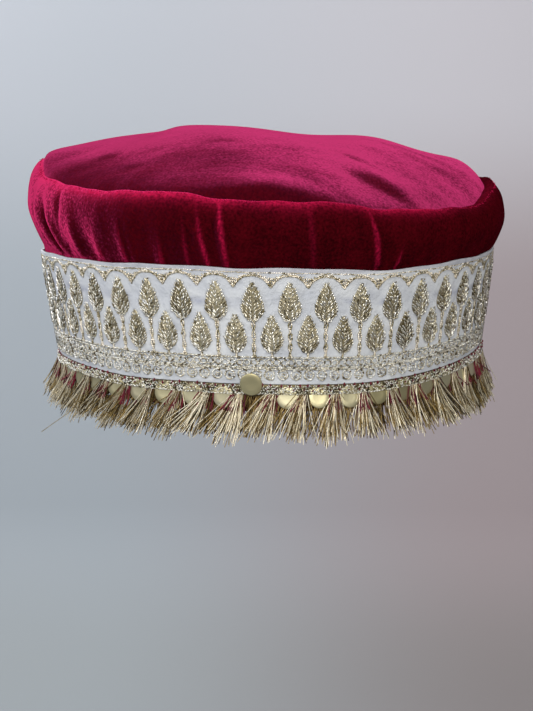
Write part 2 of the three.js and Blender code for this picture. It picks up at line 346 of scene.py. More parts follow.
def round_mesh(name, points, pole=None):
    """A mesh of rings of points from the foot or rim up, closed round the cap and at a pole if it has one."""
    count, slices = points.shape[:2]
    index = np.arange(count * slices).reshape(count, slices)
    after = np.roll(index, -1, axis=1)
    faces = np.stack([index[:-1], after[:-1], after[1:], index[1:]], -1).reshape(-1, 4).tolist()
    vertices = points.reshape(-1, 3).tolist()
    if pole is not None:
        faces += [(a, b, len(vertices)) for a, b in zip(index[-1].tolist(), after[-1].tolist())]
        vertices.append(list(pole))
    return new_mesh(name, vertices, faces)


FRONT_DENSITY = 0.4  # slices lie closer at the front by this share


def turns_round(count):
    """Turns from -180 to 180, closer together at the front, where the folds are sharp."""
    even = np.linspace(-np.pi, np.pi, count, endpoint=False)
    return np.degrees(even - FRONT_DENSITY * np.sin(even))


def clothed(name, mesh, thickness, offset, *materials):
    """A piece of cloth with its thickness: its face has the first material, its back the last."""
    for material in materials:
        mesh.materials.append(material)
    piece = new_object(name, mesh)
    wall = piece.modifiers.new("cloth", "SOLIDIFY")
    wall.thickness = thickness * MM
    wall.offset = offset
    wall.material_offset = len(materials) - 1
    return finished(piece)


def eased(table, column, turn):
    """A column of a table of turns, eased from row to row."""
    after = np.clip(np.searchsorted(table["turn"], turn, side="right"), 1, len(table["turn"]) - 1)
    start = table["turn"][after - 1]
    share = (turn - start) / (table["turn"][after] - start)
    first = table[column][after - 1]
    return first + (table[column][after] - first) * (1 - np.cos(np.pi * share)) / 2


def spline(table, column, share):
    """A column of a table along a smooth curve through its rows."""
    knots = table[column]
    last = len(knots) - 1
    place = share * last
    first = np.minimum(place.astype(int), last - 1)
    t = place - first
    before, start, end, after = (knots[np.clip(first + step, 0, last)] for step in (-1, 0, 1, 2))
    slope_in = (end - before) / 2
    slope_out = (after - start) / 2
    bend = 3 * (end - start) - 2 * slope_in - slope_out
    twist = 2 * (start - end) + slope_in + slope_out
    return start + slope_in * t + bend * t**2 + twist * t**3


def apart(turn, other):
    """Turn from one place to another, the short way round."""
    return (turn - other + 180) % 360 - 180


def trim_ring(half_width, height, turn):
    """Points on rings of a trim, sunk and tilted as the band is."""
    climb = np.clip((height - BAND_FOOT_Z) / BAND_WIDTH, 0, 1)
    points = ring(half_width, height, turn)
    points[..., 2] += BAND_TILT * points[..., 0]
    for at, reach, foot, head in zip(*BAND_SAGS.values()):
        points[..., 2] -= MM * (foot + (head - foot) * climb) * np.exp(-((apart(turn, at) / reach) ** 2))
    return points


# Velvet

# How the pile of the side and of the tip shines: colour, weight and spread of its glow, the way its patches
# are drawn out, and the strength of its patches and tufts
VELVETS = named_rows(
    "glow weight spread streak patches tufts",
    crimson_pile_velvet_napped_round=("#ff4084", 0.92, 0.31, (1, 1, 0.4), 0.36, 0.8),
    crimson_pile_velvet_napped_back=("#ff4a92", 0.63, 0.5, (0.35, 1, 1), 0.62, 0.7),
)

# How far the pile of the side leans clockwise round the cap
SIDE_NAP = rows(
    "turn lean",
    (-180, 0.3),
    (-90, 0.32),
    (20, 0.32),
    (60, 0.52),
    (92, 0.72),
    (130, 0.4),
    (180, 0.3),
)

# How far the pile of the tip leans to the right, to the back, clockwise and to the back from corner to corner
TIP_NAP = {"right": 0.05, "back": 0.2, "around": 0.08, "corners": 0.36}
NAP_CORNER = 60  # distance from the middle where the lean from corner to corner is full

# Marks of handling on the tip: middle, half-sizes, heading of the long side from +X, and lean to the back
TIP_MARKS = rows(
    "turn reach along across heading back",
    (-54, 0.93, 30, 13, -55, -0.32),
    (-57.7, 0.81, 6, 2.2, -25, -0.28),
    (-40.7, 0.86, 7, 2.4, -40, -0.25),
    (-19.1, 0.63, 7, 2.6, 5, -0.25),
    (-67, 0.74, 28, 14, -40, 0.3),
    (6.9, 0.64, 18, 3, 5, -0.15),
    (10, 0.9, 6, 3, -5, -0.15),
    (-3.7, 0.8, 26, 6, -16, -0.12),
    (29.9, 0.91, 8, 4, -15, -0.3),
    (58, 0.8, 28, 20, 60, -0.32),
)


def velvet_material(name, glow, weight, spread, streak, patches, tufts):
    # Crimson silk-rayon pile velvet: the pile swallows light seen face on and glows magenta where it is seen
    # along the surface. It leans the way the cloth was cut, handling has brushed it about in patches, each
    # tuft stands a little its own way, and along a sharp fold, where the pile opens, a lighter crimson is
    # painted in as sheen
    material, tree, shader = new_material(
        name,
        Roughness=0.9,
        Sheen_Weight=weight,
        Sheen_Roughness=spread,
        Sheen_Tint=linear(glow),
    )
    shader.inputs["Specular IOR Level"].default_value = 0.0
    place = add(tree, "ShaderNodeTexCoord")["Object"]
    drawn = add(tree, "ShaderNodeVectorMath", {0: place, 1: streak}, operation="MULTIPLY")[0]
    brushed = add(
        tree,
        "ShaderNodeTexNoise",
        {"Vector": drawn, "Scale": per(9), "Detail": 4.0, "Roughness": 0.65},
    )
    # the real tufts stand 0.3 mm apart, drawn coarser to show
    tuft = add(tree, "ShaderNodeTexNoise", {"Vector": place, "Scale": per(0.9), "Detail": 1.0})
    depth = add(tree, "ShaderNodeMix", {0: 0.5, 2: brushed[0], 3: tuft[0]}, data_type="FLOAT")[0]
    ramp = tree.nodes.new("ShaderNodeValToRGB")
    ramp.color_ramp.elements[0].position = 0.35
    ramp.color_ramp.elements[0].color = linear("#280206")
    ramp.color_ramp.elements[1].position = 0.68
    ramp.color_ramp.elements[1].color = linear("#4c050e")
    connect(tree, ramp, {0: depth})
    # painted sheen: along the crest and the ridges the colour turns a lighter crimson, broken up by the tufts
    opening = add(tree, "ShaderNodeAttribute", attribute_name="opening")["Fac"]
    ragged = add(tree, "ShaderNodeMapRange", {0: tuft[0], 1: 0.3, 2: 0.7, 3: 0.35, 4: 1.0})[0]
    painted_sheen_amount = add(tree, "ShaderNodeMath", {0: opening, 1: ragged}, operation="MULTIPLY")[0]
    colour = add(
        tree,
        "ShaderNodeMix",
        {0: painted_sheen_amount, 6: ramp.outputs[0], 7: linear("#c21846")},
        data_type="RGBA",
    )[2]
    nap = add(tree, "ShaderNodeAttribute", attribute_name="nap")["Vector"]
    pile = add(tree, "ShaderNodeVectorMath", {0: nap, 1: add(tree, "ShaderNodeNewGeometry")["Normal"]})[0]
    for chance, amount in ((brushed[1], patches), (tuft[1], tufts)):
        stray = add(tree, "ShaderNodeVectorMath", {0: chance, 1: (0.5, 0.5, 0.5)}, operation="SUBTRACT")[0]
        stray = add(tree, "ShaderNodeVectorMath", {0: stray, 3: amount}, operation="SCALE")[0]
        pile = add(tree, "ShaderNodeVectorMath", {0: pile, 1: stray})[0]
    pile = add(tree, "ShaderNodeVectorMath", {0: pile}, operation="NORMALIZE")[0]
    connect(tree, shader, {"Base Color": colour, "Normal": pile})
    return material


def backing_material():
    # Woven back of the velvet: dull crimson plain weave with a fine thread grid
    material, tree, shader = new_material("velvet_woven_back", Roughness=0.85)
    place = add(tree, "ShaderNodeTexCoord")["Object"]
    # the real threads lie 0.3 mm apart, drawn coarser to show
    weave = add(tree, "ShaderNodeTexVoronoi", {"Vector": place, "Scale": per(0.9)})[0]
    cloud = add(tree, "ShaderNodeTexNoise", {"Vector": place, "Scale": per(12)})[0]
    colour = add(
        tree,
        "ShaderNodeMix",
        {0: cloud, 6: linear("#4a0c1c"), 7: linear("#6a1530")},
        data_type="RGBA",
    )[2]
    bump = add(tree, "ShaderNodeBump", {"Strength": 0.4, "Distance": 0.2 * MM, "Height": weave})[0]
    connect(tree, shader, {"Base Color": colour, "Normal": bump})
    return material


def gather_push(turn, share):
    """How far all the gathers push the side out, at a share of the way up from the band to the roll."""
    push = np.zeros_like(turn)
    for top, foot, spread, rise, middle, reach, _ in zip(*GATHERS.values()):
        near = apart(turn, foot + (top - foot) * share) / spread
        push += rise * np.exp(-(near**2) - ((share - middle) / reach) ** 2)
    return push * np.minimum(1, share / GATHER_START) * (1 - share**GATHER_HOLD)


def painted_pile_sheen(turn, share):
    """Share of painted sheen, a lighter crimson where the pile opens, along the crest of the roll and the
    gathers' ridges.
    """
    place = share * (len(SIDE_CURVE["rise"]) - 1)
    rise = np.clip(spline(SIDE_CURVE, "rise", share), 0, 1)
    opening = 0
    for column, band in CREST_BANDS.items():
        fade = np.exp(-((np.maximum(0, CREST - place) / band) ** 2))
        opening = opening + eased(CREST_PAINTED_SHEEN, column, turn) * fade
    for top, foot, spread, _, middle, reach, painted_sheen_amount in zip(*GATHERS.values()):
        near = apart(turn, foot + (top - foot) * rise) / (RIDGE_SHARE * spread)
        opening = opening + painted_sheen_amount * np.exp(-(near**2) - ((rise - middle) / reach) ** 2)
    return np.clip(opening, 0, 1)


def clockwise(turn):
    """Directions clockwise round the cap, seen from above."""
    angle = np.radians(turn)
    return np.stack([-np.cos(angle), -np.sin(angle), 0 * angle], -1)


def keep(mesh, name, kind, values):
    """Stores a value on each point of a mesh."""
    slot = {"FLOAT": "value", "FLOAT_VECTOR": "vector"}[kind]
    mesh.attributes.new(name, kind, "POINT").data.foreach_set(slot, np.array(values, np.float32).ravel())


def pucker_push(turn, share):
    """The short puckers that the seam of the band draws up into the velvet."""
    draw = random.Random(PUCKER_SEED)
    push = np.zeros_like(turn)
    for i in range(PUCKER_COUNT):
        centre = 360 * (i + draw.uniform(-PUCKER_CHANCE["place"], PUCKER_CHANCE["place"])) / PUCKER_COUNT
        spread, rise, reach = (draw.uniform(*PUCKER_CHANCE[size]) for size in ("spread", "rise", "reach"))
        lean = draw.uniform(-PUCKER_CHANCE["lean"], PUCKER_CHANCE["lean"])
        near = apart(turn, centre + lean * share) / spread
        push += rise * np.exp(-(near**2) - (share / reach) ** 2)
    return push


def side_line(turn, share):
    """Half-width and height of the side's middle surface, at shares of the way from the band to the seam."""
    rise = spline(SIDE_CURVE, "rise", share)
    at_band = inner_face(BAND_HEAD_Z) - GAP - VELVET_CLOTH / 2
    half_width = at_band + eased(CROWN_SIDE, "belly", turn) * spline(SIDE_CURVE, "out", share)
    half_width = half_width + gather_push(turn, np.clip(rise, 0, 1))
    half_width = half_width - eased(CROWN_SIDE, "inset", turn) * spline(SIDE_CURVE, "inset", share)
    roll = eased(CROWN_SIDE, "roll", turn)
    for waves, start, swell in zip(*ROLL_WAVES.values()):
        roll = roll + swell * np.sin(np.radians(waves * turn + start))
    height = BAND_HEAD_Z + roll * rise - SEAM_DROP * spline(SIDE_CURVE, "drop", share)
    return half_width, height


def seam_line(turn):
    """Half-width and height of the seam where the tip meets the side."""
    at_seam = (len(SIDE_CURVE["rise"]) - 2) / (len(SIDE_CURVE["rise"]) - 1)
    return side_line(turn, np.full_like(turn, at_seam))


def velvet_side(face, back):
    turns = turns_round(SIDE_MESH["slices"])
    under = np.linspace(0, 1, SIDE_MESH["under_band"] + 1)[:-1]
    above = np.linspace(0, 1, SIDE_MESH["above_band"])
    turn, climb = np.meshgrid(turns, under)
    low = ring(inner_face(BAND_HEAD_Z * climb) - GAP - VELVET_CLOTH / 2, BAND_HEAD_Z * climb, turn)
    turn, share = np.meshgrid(turns, above)
    half_width, height = side_line(turn, share)
    half_width = half_width + pucker_push(turn, share)
    mesh = round_mesh("velvet_side", np.concatenate([low, ring(half_width, height, turn)]))
    # the share of painted sheen on each point
    keep(mesh, "opening", "FLOAT", np.concatenate([np.zeros(low.shape[:2]), painted_pile_sheen(turn, share)]))
    nap = eased(SIDE_NAP, "lean", turns)[:, None] * clockwise(turns)
    keep(mesh, "nap", "FLOAT_VECTOR", np.tile(nap, (len(under) + len(above), 1)))
    return clothed("velvet_side", mesh, VELVET_CLOTH, 0, face, back)


def tip_place(turn, reach, seam_half_width):
    """Where points of the tip lie, to the right and to the back."""
    x = seam_half_width * reach * np.sin(np.radians(turn))
    y = -OVAL * seam_half_width * reach * np.cos(np.radians(turn))
    return x, y


def near_line(x, y, turn, reach, along, across, heading):
    """How far points lie across a line through a place on the tip, and how near they are to it."""
    dx = x - DENT_RING * reach * math.sin(math.radians(turn))
    dy = y + OVAL * DENT_RING * reach * math.cos(math.radians(turn))
    cosine = math.cos(math.radians(heading))
    sine = math.sin(math.radians(heading))
    long_way = dx * cosine + dy * sine
    cross_way = dy * cosine - dx * sine
    return cross_way, np.exp(-((long_way / along) ** 2) - (cross_way / across) ** 2)


def tip_height(turn, reach, seam_half_width, seam_height):
    dome = np.maximum(0, 1 - reach**DOME_POWER) ** DOME_ROOT
    x, y = tip_place(turn, reach, seam_half_width)
    inward = seam_half_width * (1 - reach)
    lift = eased(TIP_EDGE, "lift", turn) * (1 - np.exp(-((inward / EDGE_RISE) ** 2)))
    lift = lift * np.exp(-((inward / EDGE_FALL) ** 2))
    free = 1 - reach**SEAM_HOLD
    for *line, rise in zip(*TIP_DENTS.values()):
        lift += rise * near_line(x, y, *line)[1] * free
    for *line, rise, edge in zip(*TIP_FOLDS.values()):
        cross_way, near = near_line(x, y, *line)
        lift += rise * np.tanh(cross_way / edge) * near * free
    crown = TIP_TOP - VELVET_CLOTH / 2 - seam_height
    return seam_height + crown * dome + lift


def tip_nap(turn, reach, seam_half_width):
    """Lean of the tip's pile."""
    x, y = tip_place(turn, reach, seam_half_width)
    nap = TIP_NAP["around"] * clockwise(turn)
    nap[..., 0] += TIP_NAP["right"]
    nap[..., 1] += TIP_NAP["back"] - TIP_NAP["corners"] * x * y / NAP_CORNER**2
    for *line, lean in zip(*TIP_MARKS.values()):
        nap[..., 1] += lean * near_line(x, y, *line)[1]
    return nap


def velvet_tip(face, back):
    turns = turns_round(TIP_MESH["slices"])
    reaches = 1 - np.linspace(0, 1, TIP_MESH["rings"] + 1)[:-1] ** TIP_MESH["rim_density"]
    turn, reach = np.meshgrid(turns, reaches)
    half_width, height = seam_line(turn)
    half_width = half_width - GAP
    points = ring(half_width * reach, tip_height(turn, reach, half_width, height), turn)
    centre = tip_height(np.zeros(1), np.zeros(1), half_width[0, :1], height[0, :1])[0]
    mesh = round_mesh("velvet_tip", points, pole=(-LEAN * BAND_HEAD_Z * MM, 0, centre * MM))
    nap = tip_nap(turn, reach, half_width).reshape(-1, 3)
    keep(mesh, "nap", "FLOAT_VECTOR", np.concatenate([nap, nap[-1:]]))
    return clothed("velvet_tip", mesh, VELVET_CLOTH, 0, face, back)


# Fibres of the pile that stand along the crest of the roll, seen against what lies behind. Places are counted
# in rows of the side's section
PILE_COUNT = 3000
PILE_REACH = 0.9
PILE_GIRTH = 0.08
PILE_LAST = 5.4  # place of the last fibres, behind the crest
PILE_ROWS = 0.7  # spread of the fibres before it
PILE_GATHERED = 1.5  # how closely they stand near the last
PILE_UPRIGHT = 5.3  # place where a fibre stands straight up
PILE_LEAN = 0.9  # lean outwards for each row before that
PILE_CHANCE = {"reach": (0.4, 1.0), "along": 0.35, "out": 0.3}
PILE_SEEDS = {"places": 61, "tints": 62}
CREST_ROW = 5


def pile_fibre_material():
    # Single silk-rayon fibres: their lighter crimson is partly the fibres' own colour and partly painted glow
    # of the light behind them
    material, tree, shader = new_material("crimson_pile_fibre", Roughness=0.9)
    shader.inputs["Specular IOR Level"].default_value = 0.0
    tint = add(tree, "ShaderNodeAttribute", attribute_name="tint")["Fac"]
    colour = add(
        tree,
        "ShaderNodeMix",
        {0: tint, 6: linear("#8c0a30"), 7: linear("#d02458")},
        data_type="RGBA",
    )[2]
    connect(tree, shader, {"Base Color": colour})
    return material


def roll_pile(tree, material):
    draw = random.Random(PILE_SEEDS["places"])
    turn = np.array([draw.uniform(-180, 180) for _ in range(PILE_COUNT)])
    last = len(SIDE_CURVE["rise"]) - 1
    behind = [draw.random() ** PILE_GATHERED for _ in range(PILE_COUNT)]
    share = (PILE_LAST - PILE_ROWS * np.array(behind)) / last
    half_width, height = side_line(turn, share)
    out = half_width + VELVET_CLOTH / 2 * (last * share < CREST_ROW) - inner_face(height)
    up = height + VELVET_CLOTH / 2 * np.clip(last * share - (CREST_ROW - 1), 0, 1)
    reaches = []
    for place in share * last:
        lean = PILE_LEAN * (PILE_UPRIGHT - place)
        reach = PILE_REACH * draw.uniform(*PILE_CHANCE["reach"]) * MM
        along = draw.gauss(0, PILE_CHANCE["along"]) * reach
        reaches.append((along, reach, (lean + draw.gauss(0, PILE_CHANCE["out"])) * reach))
    points = np.stack([ROUND * turn / 360, up, out], -1)
    source = chart("velvet_roll_pile", points, reach=reaches, bow=np.zeros((PILE_COUNT, 3)))
    fibres = {"Steps": 2, "Thread": PILE_GIRTH * MM, "Material": material, "Seed": PILE_SEEDS["tints"]}
    return grown(source, tree, CAP_SIZES | {"Sag": 0.0, "Tilt": 0.0} | fibres)


# Ribbon

CREASE = 12.0  # depth below its upper edge of the crease along it
CREASE_DEPTH = 0.25
CREASE_BREADTH = 0.9
EDGE_TURN = 0.006  # share of its width over which each edge turns in
EDGE_WAVES = rows("waves start swell", (9, 0, 0.22), (23, 40, 0.16))  # of its upper edge
WAVES_FROM = 0.9  # share of its width where the waves begin
HEM_FROM = 0.95  # share of its width where the folded hem begins
HEM_CLOTH = 0.25
# Painted shade on it: over its folded hem, growing between two depths, and along the crease over its reach,
# in patches
HEM_SHADE = {"from": 2.2, "to": 1.5, "amount": 0.55, "colour": "#a8a8b2"}
CREASE_SHADE = {"reach": 2.2, "amount": 0.85, "colour": "#959ab0"}
RIBBON_MESH = {"slices": 420, "rows": 20, "from_edge": 0.04}


def ribbon_material():
    # White cotton-silk ribbon, plain woven: matt, faintly cool, with thread ribs and handling creases
    material, tree, shader = new_material("white_woven_ribbon", Roughness=0.7)
    place = add(tree, "ShaderNodeTexCoord")["Object"]
    cloud = add(tree, "ShaderNodeTexNoise", {"Vector": place, "Scale": per(9), "Detail": 4.0})[0]
    # the real threads lie 0.25 mm apart, drawn coarser to show
    weave = add(tree, "ShaderNodeTexNoise", {"Vector": place, "Scale": per(0.8), "Detail": 2.0})[0]
    # the cloud runs its tone from grey-blue to white: partly the cloth's own cool tone at random, partly
    # painted shade, darkest where the same cloud sinks its bump
    colour = add(
        tree,
        "ShaderNodeMix",
        {0: cloud, 6: linear("#b3b8c4"), 7: linear("#eaecec")},
        data_type="RGBA",
    )[2]
    height = add(tree, "ShaderNodeSeparateXYZ", {0: place})[2]
    # painted shade over the folded hem, up from the first depth
    start = below(HEM_SHADE["from"]) * MM
    end = below(HEM_SHADE["to"]) * MM
    fold = add(tree, "ShaderNodeMapRange", {0: height, 1: start, 2: end, 3: 0.0, 4: HEM_SHADE["amount"]})[0]
    # painted shade along the crease, broken into patches by the cloud
    away = add(tree, "ShaderNodeMath", {0: height, 1: below(CREASE) * MM}, operation="SUBTRACT")[0]
    away = add(tree, "ShaderNodeMath", {0: away}, operation="ABSOLUTE")[0]
    reach = CREASE_SHADE["reach"] * MM
    crease = add(tree, "ShaderNodeMapRange", {0: away, 1: 0.0, 2: reach, 3: 1.0, 4: 0.0})[0]
    most = CREASE_SHADE["amount"]
    crease_shade_patches = add(tree, "ShaderNodeMapRange", {0: cloud, 1: 0.42, 2: 0.62, 3: 0.0, 4: most})[0]
    patchy = add(tree, "ShaderNodeMath", {0: crease, 1: crease_shade_patches}, operation="MULTIPLY")[0]
    for amount, shade in ((fold, HEM_SHADE), (patchy, CREASE_SHADE)):
        tone = linear(shade["colour"])
        colour = add(tree, "ShaderNodeMix", {0: amount, 6: colour, 7: tone}, data_type="RGBA")[2]
    fine = add(tree, "ShaderNodeBump", {"Strength": 0.5, "Distance": 0.25 * MM, "Height": weave})[0]
    crinkle = add(tree, "ShaderNodeTexNoise", {"Vector": place, "Scale": per(3), "Detail": 3.0})[0]
    soft = fine
    for rise, depth in ((crinkle, 1.2), (cloud, 2.0)):
        soft = add(
            tree,
            "ShaderNodeBump",
            {"Strength": 0.6, "Distance": depth * MM, "Height": rise, "Normal": soft},
        )[0]
    connect(tree, shader, {"Base Color": colour, "Normal": soft})
    return material


def ribbon(material):
    turns = np.linspace(-180, 180, RIBBON_MESH["slices"], endpoint=False)
    middle = np.linspace(RIBBON_MESH["from_edge"], 1 - RIBBON_MESH["from_edge"], RIBBON_MESH["rows"])
    climb = np.concatenate([[0, EDGE_TURN], middle, [1 - EDGE_TURN, 1]])
    turn, share = np.meshgrid(turns, climb)
    sway = 0
    for waves, start, swell in zip(*EDGE_WAVES.values()):
        sway = sway + swell * np.sin(np.radians(waves * turn + start))
    height = BAND_FOOT_Z + BAND_WIDTH * share + sway * (share > WAVES_FROM)
    crease = -CREASE_DEPTH * np.exp(-(((BAND_WIDTH * (1 - share) - CREASE) / CREASE_BREADTH) ** 2))
    half_width = inner_face(height) + BAND_CLOTH + crease + HEM_CLOTH * (share > HEM_FROM)
    mesh = round_mesh("ribbon", trim_ring(half_width, height, turn))
    return clothed("ribbon", mesh, BAND_CLOTH, -1, material)


# Sewing by Geometry Nodes: a flat chart of one repeat, x along, y up from the hem and z out from the face
# that the trims are sewn against, is repeated and laid round the cap

def wrap_round_cap(tree, given, geometry):
    """Nodes that lay a flat chart round the cap."""
    place = add(tree, "GeometryNodeInputPosition")[0]
    along, up, out = add(tree, "ShaderNodeSeparateXYZ", {0: place})
    turns = add(tree, "ShaderNodeMath", {0: along, 1: given["Round"]}, operation="DIVIDE")[0]
    angle = add(tree, "ShaderNodeMath", {0: turns, 1: math.tau}, operation="MULTIPLY")[0]
    face = add(
        tree,
        "ShaderNodeMath",
        {0: up, 1: given["Slope"], 2: given["Inner Half Width"]},
        operation="MULTIPLY_ADD",
    )[0]
    half_width = add(tree, "ShaderNodeMath", {0: face, 1: out}, operation="ADD")[0]
    sine = add(tree, "ShaderNodeMath", {0: angle}, operation="SINE")[0]
    cosine = add(tree, "ShaderNodeMath", {0: angle}, operation="COSINE")[0]
    x = add(tree, "ShaderNodeMath", {0: half_width, 1: sine}, operation="MULTIPLY")[0]
    deep = add(tree, "ShaderNodeMath", {0: half_width, 1: given["Depth"]}, operation="MULTIPLY")[0]
    y = add(tree, "ShaderNodeMath", {0: deep, 1: cosine}, operation="MULTIPLY")[0]
    low = add(tree, "ShaderNodeMath", {0: up, 1: given["Band Head"]}, operation="MINIMUM")[0]
    lean = add(tree, "ShaderNodeMath", {0: low, 1: given["Lean"]}, operation="MULTIPLY")[0]
    aside = add(tree, "ShaderNodeMath", {0: x, 1: lean}, operation="SUBTRACT")[0]
    height = add(tree, "ShaderNodeMath", {0: aside, 1: given["Tilt"], 2: up}, operation="MULTIPLY_ADD")[0]
    climb = add(tree, "ShaderNodeMapRange", {0: up, 1: given["Band Foot"], 2: given["Band Head"]})[0]
    for at, reach, foot, head in zip(*BAND_SAGS.values()):
        away = add(tree, "ShaderNodeMath", {0: angle, 1: math.radians(at)}, operation="SUBTRACT")[0]
        near = add(tree, "ShaderNodeMath", {0: away, 1: -math.pi, 2: math.pi}, operation="WRAP")[0]
        wide = add(tree, "ShaderNodeMath", {0: near, 1: math.radians(reach)}, operation="DIVIDE")[0]
        square = add(tree, "ShaderNodeMath", {0: wide, 1: 2.0}, operation="POWER")[0]
        fade = add(tree, "ShaderNodeMath", {0: math.exp(-1), 1: square}, operation="POWER")[0]
        sunk = add(tree, "ShaderNodeMath", {0: fade, 1: given["Sag"]}, operation="MULTIPLY")[0]
        drop = add(tree, "ShaderNodeMath", {0: climb, 1: foot - head, 2: -foot}, operation="MULTIPLY_ADD")[0]
        height = add(tree, "ShaderNodeMath", {0: sunk, 1: drop, 2: height}, operation="MULTIPLY_ADD")[0]
    laid = add(tree, "ShaderNodeCombineXYZ", {0: aside, 1: y, 2: height})[0]
    return add(tree, "GeometryNodeSetPosition", {"Geometry": geometry, "Position": laid})[0]


def new_tree(name, sockets):
    """A geometry tree with named inputs, and the outputs of its group input."""
    tree = bpy.data.node_groups.new(name, "GeometryNodeTree")
    tree.interface.new_socket(name="Geometry", in_out="OUTPUT", socket_type="NodeSocketGeometry")
    for socket, kind in sockets.items():
        tree.interface.new_socket(name=socket, in_out="INPUT", socket_type="NodeSocket" + kind)
    return tree, add(tree, "NodeGroupInput")


def tinted(tree, given, copies):
    """Gives each copy its own chance tint and makes the copies real."""
    tint = add(tree, "FunctionNodeRandomValue", {"Seed": given["Seed"]}, data_type="FLOAT")[1]
    marked = add(
        tree,
        "GeometryNodeStoreNamedAttribute",
        {"Geometry": copies, "Name": "tint", "Value": tint},
        data_type="FLOAT",
        domain="INSTANCE",
    )[0]
    return add(tree, "GeometryNodeRealizeInstances", {0: marked})[0]


def close_tree(tree, given, geometry):
    """Ends a tree with a plain mesh in its material."""
    plain = add(tree, "GeometryNodeRealizeInstances", {0: geometry})[0]
    clad = add(tree, "GeometryNodeSetMaterial", {"Geometry": plain, "Material": given["Material"]})[0]
    add(tree, "NodeGroupOutput", {0: clad})
    return tree


CAP_SIZES = {
    "Round": ROUND * MM,
    "Inner Half Width": INNER_AT_ZERO * MM,
    "Slope": SLOPE,
    "Depth": -OVAL,
    "Band Foot": BAND_FOOT_Z * MM,
    "Band Head": BAND_HEAD_Z * MM,
    "Lean": LEAN,
    "Tilt": BAND_TILT,
    "Sag": MM,
}
CAP_SOCKETS = {name: "Float" for name in CAP_SIZES}


def sewing_tree():
    """Repeats a chart of stitches round the cap, each with a little chance in its place and its lie."""
    tree, given = new_tree(
        "sewn_round_cap",
        {
            "Geometry": "Geometry",
            "Stitch": "Object",
            "Repeats": "Int",
            "Pitch": "Float",
            "Wander": "Float",
            "Twist": "Float",
            "Roll": "Float",
            "Seed": "Int",
            "Material": "Material",
        }
        | CAP_SOCKETS,
    )
    copies = add(
        tree,
        "GeometryNodeDuplicateElements",
        {"Geometry": given["Geometry"], "Amount": given["Repeats"]},
        domain="POINT",
    )
    step = add(tree, "ShaderNodeMath", {0: copies[1], 1: given["Pitch"]}, operation="MULTIPLY")[0]
    chance = add(
        tree,
        "FunctionNodeRandomValue",
        {0: (-1, -1, -1), 1: (1, 1, 1), "Seed": given["Seed"]},
        data_type="FLOAT_VECTOR",
    )[0]
    wander = add(tree, "ShaderNodeVectorMath", {0: chance, 3: given["Wander"]}, operation="SCALE")[0]
    shift = add(tree, "ShaderNodeCombineXYZ", {0: step})[0]
    moved = add(tree, "ShaderNodeVectorMath", {0: shift, 1: wander})[0]
    points = add(tree, "GeometryNodeSetPosition", {"Geometry": copies[0], "Offset": moved})[0]
    lie, size = (
        add(tree, "GeometryNodeInputNamedAttribute", {"Name": name}, data_type="FLOAT_VECTOR")[0]
        for name in ("lie", "size")
    )
    swing = add(
        tree,
        "FunctionNodeRandomValue",
        {2: -1.0, 3: 1.0, "Seed": given["Seed"]},
        data_type="FLOAT",
    )[1]
    twist = add(tree, "ShaderNodeMath", {0: swing, 1: given["Twist"]}, operation="MULTIPLY")[0]
    third = add(tree, "ShaderNodeSeparateXYZ", {0: chance})[2]
    spin = add(tree, "ShaderNodeMath", {0: third, 1: given["Roll"]}, operation="MULTIPLY")[0]
    stray = add(tree, "ShaderNodeCombineXYZ", {0: spin, 2: twist})[0]
    turned = add(tree, "ShaderNodeVectorMath", {0: lie, 1: stray})[0]
    stitch = add(tree, "GeometryNodeObjectInfo", {"Object": given["Stitch"]})["Geometry"]
    sewn = add(
        tree,
        "GeometryNodeInstanceOnPoints",
        {
            "Points": points,
            "Instance": stitch,
            "Rotation": add(tree, "FunctionNodeEulerToRotation", {0: turned})[0],
            "Scale": size,
        },
    )[0]
    laid = wrap_round_cap(tree, given, tinted(tree, given, sewn))
    return close_tree(tree, given, laid)


def hanging_tree():
    """Hangs a thread from each point of a chart: it bows, leans and stands out as the point's values say."""
    tree, given = new_tree(
        "threads_hung_round_cap",
        {
            "Geometry": "Geometry",
            "Steps": "Int",
            "Thread": "Float",
            "Seed": "Int",
            "Material": "Material",
        }
        | CAP_SOCKETS,
    )
    line = add(tree, "GeometryNodeCurvePrimitiveLine", {"Start": (0, 0, 0), "End": (0, -MM, 0)})[0]
    threads = add(tree, "GeometryNodeInstanceOnPoints", {"Points": given["Geometry"], "Instance": line})[0]
    real = tinted(tree, given, threads)
    stepped = add(tree, "GeometryNodeResampleCurve", {"Curve": real, "Count": given["Steps"]})[0]
    down = add(tree, "GeometryNodeSplineParameter")[0]
    reach, bow = (
        add(tree, "GeometryNodeInputNamedAttribute", {"Name": name}, data_type="FLOAT_VECTOR")[0]
        for name in ("reach", "bow")
    )
    up = add(tree, "ShaderNodeMath", {0: 1.0, 1: down}, operation="SUBTRACT")[0]
    belly = add(tree, "ShaderNodeMath", {0: down, 1: up}, operation="MULTIPLY")[0]
    straight = add(tree, "ShaderNodeVectorMath", {0: reach, 3: down}, operation="SCALE")[0]
    bowed = add(tree, "ShaderNodeVectorMath", {0: bow, 3: belly}, operation="SCALE")[0]
    offset = add(tree, "ShaderNodeVectorMath", {0: straight, 1: bowed})[0]
    hung = add(tree, "GeometryNodeSetPosition", {"Geometry": stepped, "Offset": offset})[0]
    laid = wrap_round_cap(tree, given, hung)
    section = add(tree, "GeometryNodeCurvePrimitiveCircle", {"Resolution": 3, "Radius": given["Thread"]})[0]
    tubes = add(
        tree,
        "GeometryNodeCurveToMesh",
        {"Curve": laid, "Profile Curve": section, "Fill Caps": True},
    )[0]
    return close_tree(tree, given, tubes)


